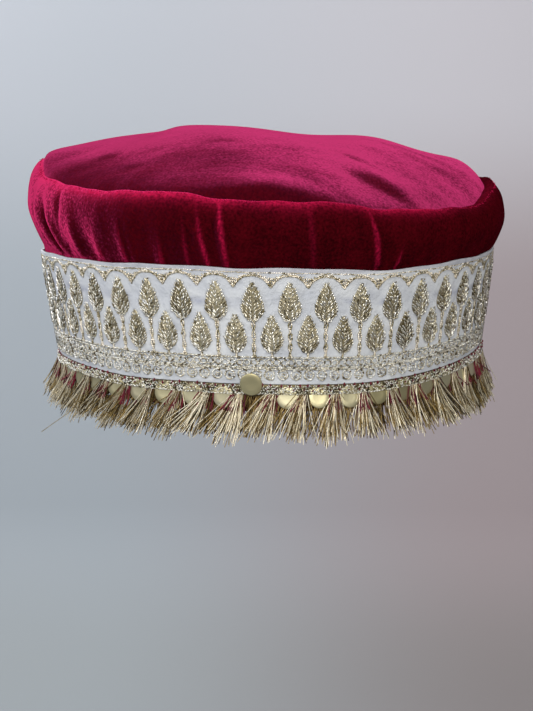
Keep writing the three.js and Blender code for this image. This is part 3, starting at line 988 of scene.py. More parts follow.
def grown(piece, tree, values):
    """Runs a tree on an object and gives the plain mesh piece."""
    modifier = piece.modifiers.new(tree.name, "NODES")
    modifier.node_group = tree
    for item in tree.interface.items_tree:
        if item.in_out == "INPUT" and item.name in values:
            modifier[item.identifier] = values[item.name]
    return finished(piece)


def chart(name, points, **vectors):
    """Loose points in millimetres as an object, with vectors stored on them."""
    mesh = new_mesh(name, (np.array(points) * MM).tolist())
    for label, values in vectors.items():
        keep(mesh, label, "FLOAT_VECTOR", values)
    return new_object(name, mesh)


# One stitch: a strand that dips into the cloth at both ends, along x, one unit long, wide and high
STITCH_RINGS = rows(
    "along girth lift",
    (-0.5, 0.3, -0.4),
    (-0.28, 0.9, 0.05),
    (0.28, 0.9, 0.05),
    (0.5, 0.3, -0.4),
)
STITCH_SIDES = 3
STITCH_RADIUS = 0.62


def strand(name):
    """A low stitch with a few faces."""
    vertices = []
    faces = []
    for along, girth, lift in zip(*STITCH_RINGS.values()):
        for side in range(STITCH_SIDES):
            angle = math.tau * (side / STITCH_SIDES + 0.25)
            radius = STITCH_RADIUS * girth
            vertices.append((along, radius * math.cos(angle), lift + radius * math.sin(angle)))
    count = len(STITCH_RINGS["along"])
    for step in range(count - 1):
        for side in range(STITCH_SIDES):
            a = step * STITCH_SIDES + side
            b = step * STITCH_SIDES + (side + 1) % STITCH_SIDES
            faces.append((b, a, a + STITCH_SIDES, b + STITCH_SIDES))
    first = list(range(STITCH_SIDES))
    faces.append(first)
    faces.append([(count - 1) * STITCH_SIDES + side for side in reversed(first)])
    return new_object(name, new_mesh(name, vertices, faces))


class Pattern:
    """Stitches of one repeat, in millimetres, gathered as a chart."""

    def __init__(self):
        self.points = []
        self.lies = []
        self.sizes = []

    def mark(self, x, y, out, lie, length, width, height, tilt=0.0):
        self.points.append((x, y, out))
        self.lies.append((math.radians(tilt), 0, lie))
        self.sizes.append((length * MM, width * MM, height * MM))

    def stitch(self, start, end, out, width, height, overlap):
        dx = end[0] - start[0]
        dy = end[1] - start[1]
        middle = ((start[0] + end[0]) / 2, (start[1] + end[1]) / 2)
        self.mark(*middle, out, math.atan2(dy, dx), overlap * math.hypot(dx, dy), width, height)

    def rope(self, path, spacing, length, slant, out, width, height):
        """Slanted stitches along a path of points."""
        path = np.array(path, float)
        steps = np.hypot(*np.diff(path, axis=0).T)
        far = np.concatenate([[0], np.cumsum(steps)])
        count = max(1, round(far[-1] / spacing))
        for k in range(count):
            at = far[-1] * (k + 0.5) / count
            x = np.interp(at, far, path[:, 0])
            y = np.interp(at, far, path[:, 1])
            leg = min(np.searchsorted(far, at), len(path) - 1)
            heading = math.atan2(*(path[leg] - path[leg - 1])[::-1])
            self.mark(x, y, FACE + out, heading + math.radians(slant), length, width, height)

    def sew(self, name, tree, stitch, material):
        source = chart(name, self.points, lie=self.lies, size=self.sizes)
        sewing = SEWING[name]
        values = {
            "Stitch": stitch,
            "Repeats": sewing["repeats"],
            "Pitch": ROUND / sewing["repeats"] * MM,
            "Wander": sewing["wander"] * MM,
            "Twist": math.radians(sewing["twist"]),
            "Roll": math.radians(sewing["roll"]),
            "Seed": sewing["seed"],
            "Material": material,
        }
        return grown(source, tree, values | CAP_SIZES)


LEAF_REPEATS = 46
LOOP_REPEATS = 222
RING_REPEATS = 123
BRAID_REPEATS = 170

# How each pattern is sewn: repeats round the cap, chance in the place, heading and roll of a stitch, and seed
SEWING = named_rows(
    "repeats wander twist roll seed",
    leaf_stitches=(LEAF_REPEATS, 0.22, 17, 60, 21),
    leaf_grounds=(LEAF_REPEATS, 0.0, 0, 0, 22),
    scallop_and_stem_stitches=(LEAF_REPEATS, 0.1, 12, 40, 23),
    loop_border_stitches=(LOOP_REPEATS, 0.15, 18, 40, 24),
    ring_border_stitches=(RING_REPEATS, 0.13, 16, 40, 25),
    braid_gold_stitches=(BRAID_REPEATS, 0.3, 40, 45, 31),
    braid_crimson_stitches=(BRAID_REPEATS, 0.4, 30, 0, 32),
    sequins=(1, 0.0, 0, 0, 42),
    sequin_sewing_thread=(BRAID_REPEATS, 0.08, 8, 30, 43),
)

# Ropes of slanted stitches, with their height over the ribbon's face
ROPES = named_rows(
    "spacing length slant out width height",
    arch=(0.6, 1.2, 38, 0.26, 0.5, 0.5),
    arch_edge=(0.9, 1.2, -30, 0.26, 0.5, 0.5),
    edge=(0.8, 1.15, 22, 0.2, 0.55, 0.5),
    stem_left=(0.75, 1.3, -10, 0.3, 0.72, 0.62),
    stem_right=(0.75, 1.3, 10, 0.3, 0.72, 0.62),
    stalk=(0.55, 1.2, 25, 0.3, 0.75, 0.6),
    loop=(0.72, 1.2, 25, 0.32, 0.64, 0.58),
    loop_head=(0.66, 1.2, 24, 0.28, 0.62, 0.55),
    loop_foot=(0.66, 1.2, 46, 0.28, 0.62, 0.55),
    loop_under=(0.66, 1.2, -40, 0.28, 0.62, 0.55),
    ring=(0.66, 1.25, 28, 0.3, 0.66, 0.58),
    ring_middle=(0.9, 1.1, 30, 0.22, 0.55, 0.5),
)

# Single stitches
STITCHES = named_rows(
    "length width height",
    cusp=(1.3, 0.55, 0.5),
    braid=(1.15, 0.5, 0.5),
    braid_edge=(1.2, 0.85, 0.7),
    braid_fleck=(0.9, 0.5, 0.5),
    sewing=(1.3, 0.55, 0.5),
)


# Embroidery, as depths below the ribbon's upper edge
LEAF_PITCH = ROUND / LEAF_REPEATS
FIRST_LEAF = -5.2  # of a tall leaf from the front, along the band
TALL_LEAF = {"tip": 4.5, "foot": 18.2, "width": 8.4}
SHORT_LEAF = {"tip": 15.9, "foot": 29.4, "width": 8.1}
LEAF_ROWS = 14
# Columns of stitches from the vein out: start and end over the half-width, shift in rows, height over the
# cloth
LEAF_COLUMNS = rows(
    "near far shift out",
    (0.03, 0.36, 0.5, 0.68),
    (0.36, 0.7, 0.2, 0.62),
    (0.68, 1.0, 0.6, 0.48),
)
LEAF_STITCHES = named_rows("width height overlap", column=(0.44, 0.56, 1.0), tip=(0.6, 0.55, 1.1))
LEAF_BELLY = 0.32  # share of the way up where a leaf is widest
LEAF_TIP = 0.1  # width at its tip over that
LEAF_FOOT_POWER = 0.45  # how fully the foot of a leaf is rounded
LEAF_FALL_POWER = 1.5  # how its sides curve in to the tip
TIP_STITCH = {"length": 2.2, "out": 0.42}
LEAF_SLOPE = 36  # of a stitch at the foot of a leaf
LEAF_STEEPER = 38  # added towards its tip
LEAF_PAD = 0.5  # the padding of a leaf rises this far at its vein
PAD = {"out": 0.05, "width": 0.96, "height": 0.98}  # width and height over those of its leaf
PAD_ROWS = 12
PAD_COLUMNS = (-1.0, -0.6, 0.0, 0.6, 1.0)
ARCH = {"top": 2.4, "cusp": 6.5, "power": 2.6}
ARCH_ROPES = {"arch": 0.0, "arch_edge": -0.5}  # depth of each below the arch
EDGE_LINE = 1.4
# Stitches that fill the cusp between two arches: columns on each side, spacing, room below and above, lie
CUSP = {"columns": 4, "apart": 0.7, "row": 0.95, "below": 0.9, "above": 0.4, "slant": 38, "turn": 12}
# Stems of twisted ropes: how far they run into leaf and border, how far they swing, and half a turn's length
STEM = {"leaf": 0.6, "border": 0.3, "swing": 0.5, "wave": 4.0}
PATH_POINTS = {"arch": 41, "stem": 40, "circle": 33}
BORDER_TOP = 31.1
LOOP_LINE = 33.0
LOOP_RADIUS = 1.05
LOOP_FOOT = 35.1
LOOP_ROPES = {"loop_head": BORDER_TOP + 0.1, "loop_foot": LOOP_FOOT - 0.3, "loop_under": LOOP_FOOT + 0.25}
RING_LINE = 37.5
RING_RADIUS = 1.7
RING_MIDDLE = 0.6
RING_SHIFT = 0.1  # its middle lies this far along and down
FACE = BAND_CLOTH  # height of the ribbon's face over the inner face


def below(depth):
    """Height of a depth below the ribbon's upper edge."""
    return BAND_HEAD_Z - depth


def leaf_outline(share):
    """Half-width of a leaf over its greatest, at a share of the way from its foot to its tip."""
    if share < LEAF_BELLY:
        return math.sin(math.pi / 2 * share / LEAF_BELLY) ** LEAF_FOOT_POWER
    fall = (share - LEAF_BELLY) / (1 - LEAF_BELLY)
    return 1 - (1 - LEAF_TIP) * fall**LEAF_FALL_POWER


def leaf(pattern, x, tip, foot, width):
    """Columns of short stitches on each side, rising from the vein to the outline."""
    height = foot - tip
    for row in range(LEAF_ROWS):
        share = (row + 0.5) / LEAF_ROWS
        reach = width / 2 * leaf_outline(share)
        slope = math.tan(math.radians(LEAF_SLOPE + LEAF_STEEPER * share))
        for near, far, shift, out in zip(*LEAF_COLUMNS.values()):
            top = foot - height * (row + 0.5 + shift) / LEAF_ROWS
            low_end = below(min(foot, top + reach * (1 - near) * slope))
            high_end = below(top + reach * (1 - far) * slope)
            for side in (-1, 1):
                ends = (x + side * reach * near, low_end), (x + side * reach * far, high_end)
                pattern.stitch(*ends, FACE + out, **LEAF_STITCHES["column"])
    ends = (x, below(tip + TIP_STITCH["length"])), (x, below(tip))
    pattern.stitch(*ends, FACE + TIP_STITCH["out"], **LEAF_STITCHES["tip"])


def leaf_pad():
    """The padded ground of a leaf under its stitches, one unit wide and high, with its foot at the origin."""
    places = [(row / PAD_ROWS, across) for row in range(PAD_ROWS + 1) for across in PAD_COLUMNS]
    vertices = [(leaf_outline(s) / 2 * across, s, LEAF_PAD * (1 - across**2)) for s, across in places]
    count = len(PAD_COLUMNS)
    corners = [(row * count + k) for row in range(PAD_ROWS) for k in range(count - 1)]
    faces = [(a, a + 1, a + count + 1, a + count) for a in corners]
    return new_object("leaf_pad", new_mesh("leaf_pad", vertices, faces))


# Colours of a thread: its painted shade, its own colour and its painted highlight, then its roughness and how
# far it is bare metal
GOLD_THREADS = named_rows(
    "dark middle light roughness metal",
    pale_gold_metallic_thread=("#685d40", "#e6ddc6", "#fffdf6", 0.28, 1.0),
    shaded_gold_metallic_thread=("#7a6f52", "#a69c7e", "#c8bfa4", 0.5, 1.0),
    cream_metallic_thread=("#82764f", "#cfc4a6", "#fff6e6", 0.36, 1.0),
    braid_gold_metallic_thread=("#8a7e56", "#eae2c8", "#fffef8", 0.28, 1.0),
    fringe_gold_metallic_thread=("#241608", "#9c8450", "#fff5da", 0.3, 0.7),
    # the back layer's thread: the fringe's gold painted darker as the shade behind the front layer
    fringe_brown_metallic_thread=("#1e1208", "#58431f", "#b0965e", 0.4, 0.7),
)


def gold_thread_material(name, dark, middle, light, roughness, metal):
    # Metallic thread, foil wound on a silk core: each stitch catches the light by its own twist, and on top
    # of that cream highlight and olive shade are painted in by chance and along the winding, so some are
    # cream, most pale gold and some olive
    material, tree, shader = new_material(name, Metallic=metal, Roughness=roughness)
    tint = add(tree, "ShaderNodeAttribute", attribute_name="tint")["Fac"]
    place = add(tree, "ShaderNodeTexCoord")["Object"]
    # the foil is wound at 0.2 mm, drawn coarser to show
    winding = add(tree, "ShaderNodeTexNoise", {"Vector": place, "Scale": per(0.7), "Detail": 2.0})[0]
    mixed = add(tree, "ShaderNodeMix", {0: 0.4, 2: tint, 3: winding}, data_type="FLOAT")[0]
    ramp = tree.nodes.new("ShaderNodeValToRGB")
    ramp.color_ramp.elements[0].position = 0.2
    ramp.color_ramp.elements[0].color = linear(dark)
    ramp.color_ramp.elements[1].position = 0.6
    ramp.color_ramp.elements[1].color = linear(light)
    ramp.color_ramp.elements.new(0.36).color = linear(middle)
    connect(tree, ramp, {0: mixed})
    bump = add(tree, "ShaderNodeBump", {"Strength": 0.4, "Distance": 0.12 * MM, "Height": winding})[0]
    connect(tree, shader, {"Base Color": ramp.outputs[0], "Normal": bump})
    return material


def leaf_embroidery(tree, stitch, thread, shaded_ground):
    pattern = Pattern()
    pads = Pattern()
    for x, sizes in ((FIRST_LEAF, TALL_LEAF), (FIRST_LEAF + LEAF_PITCH / 2, SHORT_LEAF)):
        leaf(pattern, x, **sizes)
        width = sizes["width"] * PAD["width"]
        height = (sizes["foot"] - sizes["tip"]) * PAD["height"]
        # the pads take the shaded gold: darker gold painted as the shade between the stitches
        pads.mark(x, below(sizes["foot"]), FACE + PAD["out"], 0, width, height, 1)
    pad = leaf_pad()
    pieces = [
        pattern.sew("leaf_stitches", tree, stitch, thread),
        pads.sew("leaf_grounds", tree, pad, shaded_ground),
    ]
    bpy.data.objects.remove(pad)
    return pieces


def arch_depth(x):
    """Depth of the scallop's arch at a distance along from its middle."""
    return ARCH["top"] + (ARCH["cusp"] - ARCH["top"]) * (abs(x) / (LEAF_PITCH / 2)) ** ARCH["power"]


def scallop_embroidery(tree, stitch, thread):
    pattern = Pattern()
    half = LEAF_PITCH / 2
    line = np.linspace(-half, half, PATH_POINTS["arch"])
    for name, depth in ARCH_ROPES.items():
        arch = [(FIRST_LEAF + x, below(arch_depth(x) + depth)) for x in line]
        pattern.rope(arch, **ROPES[name])
    pattern.rope([(FIRST_LEAF + x, below(EDGE_LINE)) for x in line], **ROPES["edge"])
    for k in range(-CUSP["columns"], CUSP["columns"] + 1):
        away = CUSP["apart"] * k
        lowest = arch_depth(half - abs(away)) - CUSP["below"]
        for row in range(int((lowest - EDGE_LINE - CUSP["above"]) / CUSP["row"])):
            depth = lowest - CUSP["row"] * row
            lie = math.radians(90 + CUSP["slant"] * np.sign(away) + CUSP["turn"] * (row % 2))
            out = FACE + ROPES["arch"]["out"]
            pattern.mark(FIRST_LEAF + half + away, below(depth), out, lie, **STITCHES["cusp"])
    start = TALL_LEAF["foot"] - STEM["leaf"]
    stem = np.linspace(start, BORDER_TOP + STEM["border"], PATH_POINTS["stem"])
    for name, swing in (("stem_left", -STEM["swing"]), ("stem_right", STEM["swing"])):
        sways = [swing * math.sin(math.pi * (depth - stem[0]) / STEM["wave"]) for depth in stem]
        pattern.rope([(FIRST_LEAF + sway, below(depth)) for sway, depth in zip(sways, stem)], **ROPES[name])
    stalk = (SHORT_LEAF["foot"] - STEM["leaf"], BORDER_TOP + STEM["border"])
    pattern.rope([(FIRST_LEAF + half, below(depth)) for depth in stalk], **ROPES["stalk"])
    return pattern.sew("scallop_and_stem_stitches", tree, stitch, thread)


def circle(x, depth, radius):
    turns = np.linspace(0, math.tau, PATH_POINTS["circle"])
    return [(x + radius * math.cos(t), below(depth) + radius * math.sin(t)) for t in turns]


def border_embroidery(tree, stitch, thread):
    loops = Pattern()
    pitch = ROUND / LOOP_REPEATS
    loops.rope(circle(0, LOOP_LINE, LOOP_RADIUS), **ROPES["loop"])
    for name, depth in LOOP_ROPES.items():
        loops.rope([(0, below(depth)), (pitch, below(depth))], **ROPES[name])
    rings = Pattern()
    rings.rope(circle(0, RING_LINE, RING_RADIUS), **ROPES["ring"])
    rings.rope(circle(RING_SHIFT, RING_LINE + RING_SHIFT, RING_MIDDLE), **ROPES["ring_middle"])
    return [
        loops.sew("loop_border_stitches", tree, stitch, thread),
        rings.sew("ring_border_stitches", tree, stitch, thread),
    ]


# Braid and sequins
# The braid's ground: thickness and height of its face over the braid's, its swell, and its gap under the band
BRAID_GROUND = {"thickness": 0.6, "face": 0.55, "swell": 0.25, "gap": 0.05}
BRAID_MESH = {"slices": 360, "rows": 7}
BRAID_ROWS = 4  # rows of stitches, and stitches of a repeat in each row
BRAID_LIES = (-52, 38)  # lie of every other stitch
BRAID_FIRST = 0.45  # the first row lies this share of a row up
# Crimson stitches of the braid, at its upper edge and in its middle: place along a repeat and lie
EDGE_FLECK = {"along": 0.4, "lie": 70, "inset": 0.1}  # it lies this far below the edge and out
MIDDLE_FLECK = {"along": 2.0, "lie": 40}
OPENWORK = 0.4  # the braid's stitches lie this far over the sequins
SEQUIN_COUNT = 50
SEQUIN_RADIUS = 4.0
SEQUIN_SIDES = 32
SEQUIN_RINGS = rows("radius lift", (1.0, -0.06), (1.0, 0.0), (0.93, 0.03), (0.5, -0.01))
SEQUIN_TURN = -3.4
SEQUIN_TILT = 14  # the fringe holds their lower edge out
SEQUIN_CHANCE = {"height": 0.3, "tilt": (-3, 6), "lie": 0.2}
SEQUIN_SEED = 41
THREAD_Z = BRAID_FOOT_Z + 0.5  # of the string of sequins
SEQUIN_Z = THREAD_Z - 0.2
SEWING_Z = THREAD_Z + 1.0  # of the stitches that hold the sequins down
SEWING_COUNT = 3  # stitches of that thread to a repeat of the braid
SEWING_LIE = 8
SEQUIN_OUT = BRAID_CLOTH + GAP + 0.5
FLIPPED = {"lift": 4.6, "shift": -1.2, "tilt": -2, "out": 0.3}  # the sequin at the front that lies folded up


def braid_ground(material):
    turns = np.linspace(-180, 180, BRAID_MESH["slices"], endpoint=False)
    turn, share = np.meshgrid(turns, np.linspace(0, 1, BRAID_MESH["rows"]))
    height = BRAID_FOOT_Z + (BAND_FOOT_Z - BRAID_GROUND["gap"] - BRAID_FOOT_Z) * share
    swell = BRAID_GROUND["swell"] * np.sin(np.pi * share)
    half_width = inner_face(height) + BRAID_CLOTH * (BRAID_GROUND["face"] + swell)
    mesh = round_mesh("braid", trim_ring(half_width, height, turn))
    return clothed("braid", mesh, BRAID_GROUND["thickness"] * BRAID_CLOTH, -1, material)


def over_sequins(height):
    """How far out the openwork of the braid stands to lie over the sequins' upper halves."""
    return SEQUIN_OUT + OPENWORK - (height - THREAD_Z) * math.tan(math.radians(SEQUIN_TILT))


def braid_stitches(tree, stitch, thread, crimson):
    gold = Pattern()
    red = Pattern()
    pitch = ROUND / BRAID_REPEATS
    for row in range(BRAID_ROWS):
        height = SEWING_Z + (BRAID_HEAD_Z - SEWING_Z) * (row + BRAID_FIRST) / BRAID_ROWS
        for k in range(BRAID_ROWS):
            x = pitch * (k + 0.5 * (row % 2)) / BRAID_ROWS
            lie = math.radians(BRAID_LIES[(k + row) % 2])
            gold.mark(x, height, over_sequins(height), lie, **STITCHES["braid"])
    head = BRAID_HEAD_Z - EDGE_FLECK["inset"]
    out = over_sequins(head) + EDGE_FLECK["inset"]
    red.mark(EDGE_FLECK["along"], head, out, math.radians(EDGE_FLECK["lie"]), **STITCHES["braid_edge"])
    middle = (SEWING_Z + BRAID_HEAD_Z) / 2
    lie = math.radians(MIDDLE_FLECK["lie"])
    red.mark(MIDDLE_FLECK["along"], middle, over_sequins(middle), lie, **STITCHES["braid_fleck"])
    return [
        gold.sew("braid_gold_stitches", tree, stitch, thread),
        red.sew("braid_crimson_stitches", tree, stitch, crimson),
    ]


def sequin_disc():
    """A foil disc of one unit radius, a little cupped, facing z, with a rim."""
    sides = range(SEQUIN_SIDES)
    angles = np.linspace(0, math.tau, SEQUIN_SIDES, endpoint=False)
    rings = list(zip(*SEQUIN_RINGS.values()))
    vertices = [(r * math.cos(a), r * math.sin(a), z) for r, z in rings for a in angles]
    faces = []
    for step in range(len(rings) - 1):
        inner = (step + 1) * SEQUIN_SIDES
        outer = step * SEQUIN_SIDES
        for i in sides:
            j = (i + 1) % SEQUIN_SIDES
            faces.append((outer + i, outer + j, inner + j, inner + i))
    faces.append([(len(rings) - 1) * SEQUIN_SIDES + i for i in sides])
    faces.append(list(reversed(sides)))
    return new_object("sequin_disc", new_mesh("sequin_disc", vertices, faces))


def sequin_material():
    # Metallised plastic sequin foil, die cut: satin pale gold with faint rolling lines
    material, tree, shader = new_material("gold_sequin_foil", Metallic=1.0, Roughness=0.42)
    tint = add(tree, "ShaderNodeAttribute", attribute_name="tint")["Fac"]
    place = add(tree, "ShaderNodeTexCoord")["Object"]
    grain = add(tree, "ShaderNodeTexNoise", {"Vector": place, "Scale": per(1.2), "Detail": 3.0})[0]
    colour = add(
        tree,
        "ShaderNodeMix",
        {0: tint, 6: linear("#c0b68a"), 7: linear("#e0d8b6")},
        data_type="RGBA",
    )[2]
    bump = add(tree, "ShaderNodeBump", {"Strength": 0.2, "Distance": 0.1 * MM, "Height": grain})[0]
    connect(tree, shader, {"Base Color": colour, "Normal": bump})
    return material


def sequins(tree, material):
    pattern = Pattern()
    draw = random.Random(SEQUIN_SEED)
    sizes = [SEQUIN_RADIUS] * 3
    for i in range(SEQUIN_COUNT):
        x = ROUND * (SEQUIN_TURN / 360 + i / SEQUIN_COUNT)
        if i == 0:
            x += FLIPPED["shift"]
            height = SEQUIN_Z + FLIPPED["lift"]
            tilt = FLIPPED["tilt"]
            out = SEQUIN_OUT + FLIPPED["out"]
        else:
            height = SEQUIN_Z + draw.uniform(-SEQUIN_CHANCE["height"], SEQUIN_CHANCE["height"])
            tilt = -SEQUIN_TILT - draw.uniform(*SEQUIN_CHANCE["tilt"])
            out = SEQUIN_OUT
        lie = draw.uniform(-SEQUIN_CHANCE["lie"], SEQUIN_CHANCE["lie"])
        pattern.mark(x, height, out, lie, *sizes, tilt)
    disc = sequin_disc()
    piece = pattern.sew("sequins", tree, disc, material)
    bpy.data.objects.remove(disc)
    return piece


def sequin_thread(tree, stitch, material):
    pattern = Pattern()
    pitch = ROUND / BRAID_REPEATS
    for k in range(SEWING_COUNT):
        x = pitch * (k + 0.5) / SEWING_COUNT
        pattern.mark(x, SEWING_Z, over_sequins(SEWING_Z), math.radians(SEWING_LIE), **STITCHES["sewing"])
    return pattern.sew("sequin_sewing_thread", tree, stitch, material)


# Fringe: how far the threads lean along the hem as they fall, how far they stand out over their drop, and
# their length over that at the front
FRINGE_LEAN = rows(
    "turn lean flare length",
    (-180, 0, 0.34, 1.0),
    (-120, -1, 0.4, 1.0),
    (-85, -5, 0.42, 1.0),
    (-60, -8, 0.4, 1.0),
    (-40, -9, 0.34, 1.0),
    (-20, -8, 0.34, 1.0),
    (0, -6, 0.34, 1.0),
    (10, -4, 0.34, 1.0),
    (20, -0.5, 0.36, 1.0),
    (30, 2, 0.38, 1.02),
    (50, 4, 0.44, 1.1),
    (75, 4, 0.4, 1.3),
    (100, 2, 0.36, 1.3),
    (180, 0, 0.34, 1.0),
)

# Long threads of the front layer that stand loose: where they hang, and their reach along, down and out
LOOSE_THREADS = {
    "fringe_threads": rows(
        "turn along down away",
        (-40, -39, 24, 14),
        (-74, -8, 15, 9),
        (-52, -13, 17, 7),
        (-40, -16, 13, 6),
        (70, 9, 20, 8),
    ),
}

# Layers of threads: bundles to a sequin, threads to a bundle, spread of the roots, their height over the
# sewing thread, how far out they start, drop, fan, share of the lean, points along a thread and its radius
FRINGE_LAYERS = named_rows(
    "seed bundles threads roots height out drop fan lean steps radius",
    fringe_threads=(51, 1, 52, 1.6, 0.8, 2.0, 15.4, 3.6, 1.0, 6, 0.16),
    fringe_back_threads=(54, 2, 40, 3.4, -0.1, 0.9, 13.2, 2.2, 0.8, 4, 0.16),
    fringe_crimson_threads=(52, 1, 20, 2.2, 0.7, 1.8, 6.0, 1.2, 0.35, 4, 0.24),
)
TINT_SEED = 53

# Chance in the bundles, in their threads, in the few that stray and in the bow of a thread. A pair is a
# lowest and a highest value, a single number a spread
BUNDLE_CHANCE = {"lean": 0.8, "length": (0.9, 1.06), "flare": (0.75, 1.2), "threads": (0.6, 1.4)}
THREAD_CHANCE = {"side": 0.55, "along": 0.13, "down": (0.68, 1.08), "away": (0.5, 1.15), "root": (-0.3, 0.3)}
STRAY_CHANCE = {"share": 0.025, "along": 5, "away": (-1, 2.5)}
BOW_CHANCE = {"along": 1.6, "down": (-1, 1), "out": (0.1, 0.9)}
LOOSE_BOW = -2


def fringe_chart(name, seed, bundles, threads, roots, height, out, drop, fan, lean):
    """Thread roots in bundles between the sequins, each with its reach and its bow."""
    draw = random.Random(seed)
    points = []
    reaches = []
    bows = []
    count = SEQUIN_COUNT * bundles
    for bundle in range(count):
        turn = apart(SEQUIN_TURN + 360 * (bundle + 0.5) / count, 0)
        heading = lean * eased(FRINGE_LEAN, "lean", turn) + draw.gauss(0, BUNDLE_CHANCE["lean"])
        length = drop * eased(FRINGE_LEAN, "length", turn) * draw.uniform(*BUNDLE_CHANCE["length"])
        flare = eased(FRINGE_LEAN, "flare", turn) * drop * draw.uniform(*BUNDLE_CHANCE["flare"])
        for _ in range(round(threads * draw.uniform(*BUNDLE_CHANCE["threads"]))):
            side = draw.gauss(0, THREAD_CHANCE["side"])
            along = heading + fan * side + draw.gauss(0, THREAD_CHANCE["along"]) * drop
            down = length * draw.uniform(*THREAD_CHANCE["down"])
            away = flare * draw.uniform(*THREAD_CHANCE["away"])
            if draw.random() < STRAY_CHANCE["share"]:
                along += draw.gauss(0, STRAY_CHANCE["along"])
                away += draw.uniform(*STRAY_CHANCE["away"])
            root_up, root_out = (draw.uniform(*THREAD_CHANCE["root"]) for _ in range(2))
            points.append((ROUND * turn / 360 + roots * side, THREAD_Z + height + root_up, out + root_out))
            reaches.append((along * MM, -down * MM, away * MM))
            bow_along = draw.gauss(0, BOW_CHANCE["along"])
            bow_down = draw.uniform(*BOW_CHANCE["down"])
            bow_out = -away * draw.uniform(*BOW_CHANCE["out"])
            bows.append((bow_along * MM, bow_down * MM, bow_out * MM))
    for turn, along, down, away in zip(*LOOSE_THREADS.get(name, {}).values()):
        points.append((ROUND * turn / 360, THREAD_Z + height, out))
        reaches.append((along * MM, -down * MM, away * MM))
        bows.append((0, LOOSE_BOW * MM, 0))
    return chart(name, points, reach=reaches, bow=bows)


def fringe_layer(name, tree, material):
    *shape, steps, radius = FRINGE_LAYERS[name].values()
    threads = {"Steps": steps, "Thread": radius * MM, "Material": material, "Seed": TINT_SEED}
    return grown(fringe_chart(name, *shape), tree, threads | CAP_SIZES)


def crimson_thread_material():
    # Crimson silk sewing thread, twisted: soft lustre with light and dark plies
    material, tree, shader = new_material("crimson_silk_thread", Roughness=0.5)
    tint = add(tree, "ShaderNodeAttribute", attribute_name="tint")["Fac"]
    place = add(tree, "ShaderNodeTexCoord")["Object"]
    plies = add(tree, "ShaderNodeTexNoise", {"Vector": place, "Scale": per(0.6), "Detail": 2.0})[0]
    mixed = add(tree, "ShaderNodeMix", {0: 0.5, 2: tint, 3: plies}, data_type="FLOAT")[0]
    colour = add(
        tree,
        "ShaderNodeMix",
        {0: mixed, 6: linear("#3a0414"), 7: linear("#860c2c")},
        data_type="RGBA",
    )[2]
    bump = add(tree, "ShaderNodeBump", {"Strength": 0.3, "Distance": 0.1 * MM, "Height": plies})[0]
    connect(tree, shader, {"Base Color": colour, "Normal": bump})
    return material


# Camera, stage and light

CAMERA = {
    "lens": 54.28,
    "sensor": 36.0,
    "place": (-0.0018, -0.4527, 0.0929),
    "yaw": 0.03,
    "pitch": 11.39,
    "roll": 0.6,
}


def photo_camera():
    yaw, pitch, roll = (math.radians(CAMERA[angle]) for angle in ("yaw", "pitch", "roll"))
    forward = Vector((math.sin(yaw) * math.cos(pitch), math.cos(yaw) * math.cos(pitch), -math.sin(pitch)))
    level = Vector((math.cos(yaw), -math.sin(yaw), 0))
    upright = level.cross(forward)
    right = level * math.cos(roll) + upright * math.sin(roll)
    up = upright * math.cos(roll) - level * math.sin(roll)
    data = bpy.data.cameras.new("camera")
    data.lens = CAMERA["lens"]
    data.sensor_width = CAMERA["sensor"]
    data.clip_start = 0.01
    camera = new_object("camera", data)
    turn = Matrix((right, up, -forward)).transposed().to_4x4()
    camera.matrix_world = Matrix.Translation(CAMERA["place"]) @ turn
    bpy.context.scene.camera = camera


FLOOR_Z = -0.74
WALL_Y = 1.2
WALL_TOP = 1.8
COVE = 0.25
COVE_STEPS = 12
STAGE_HALF_WIDTH = 2.6  # and how far its floor comes forward

# Colours of the board from the left to the right: low on the wall, high on it, and on the floor; the lighter
# top of the wall and its warmer right are painted light, the darker floor is painted shade
STAGE_COLOURS = named_rows(
    "left right",
    low=("#c6ced4", "#c9bcbe"),
    high=("#d4d9df", "#ebe8ed"),
    floor=("#aeb4b5", "#9d9795"),
)
STAGE_FADES = {"right": (-0.3, 0.4), "up": (-0.14, 0.17), "foot": (FLOOR_Z, -0.48)}  # in metres

WORLD = {"colour": "#eef0f4", "strength": 0.25}
SOFTBOXES = named_rows(
    "place target size watts colour",
    window=((-0.9, 0.55, 1.25), (0, 0, 0.08), (1.2, 1.2), 27, "#f7f8ff"),
    side=((-1.1, -0.75, 0.45), (0, 0, 0.05), (0.5, 0.5), 4.6, "#f7f8ff"),
    fill=((0.12, -1.1, 0.55), (0, 0, 0.03), (0.9, 0.9), 11, "#fffdf8"),
)


def stage_material():
    # Matt pale-painted board: plain, with painted light that makes it a little lighter up the wall and a
    # little warmer to the right, and painted shade that darkens its floor
    material, tree, shader = new_material("matt_pale_board", Roughness=0.95)
    place = add(tree, "ShaderNodeTexCoord")["Object"]
    x, _, z = add(tree, "ShaderNodeSeparateXYZ", {0: place})
    right, up, foot = (
        add(tree, "ShaderNodeMapRange", {0: way, 1: start, 2: end}, interpolation_type="SMOOTHSTEP")[0]
        for way, (start, end) in zip((x, z, z), STAGE_FADES.values())
    )
    low, high, floor = (
        add(
            tree,
            "ShaderNodeMix",
            {0: right, 6: linear(shade["left"]), 7: linear(shade["right"])},
            data_type="RGBA",
        )[2]
        for shade in STAGE_COLOURS.values()
    )
    wall = add(tree, "ShaderNodeMix", {0: up, 6: low, 7: high}, data_type="RGBA")[2]
    colour = add(tree, "ShaderNodeMix", {0: foot, 6: floor, 7: wall}, data_type="RGBA")[2]
    connect(tree, shader, {"Base Color": colour})
    return material


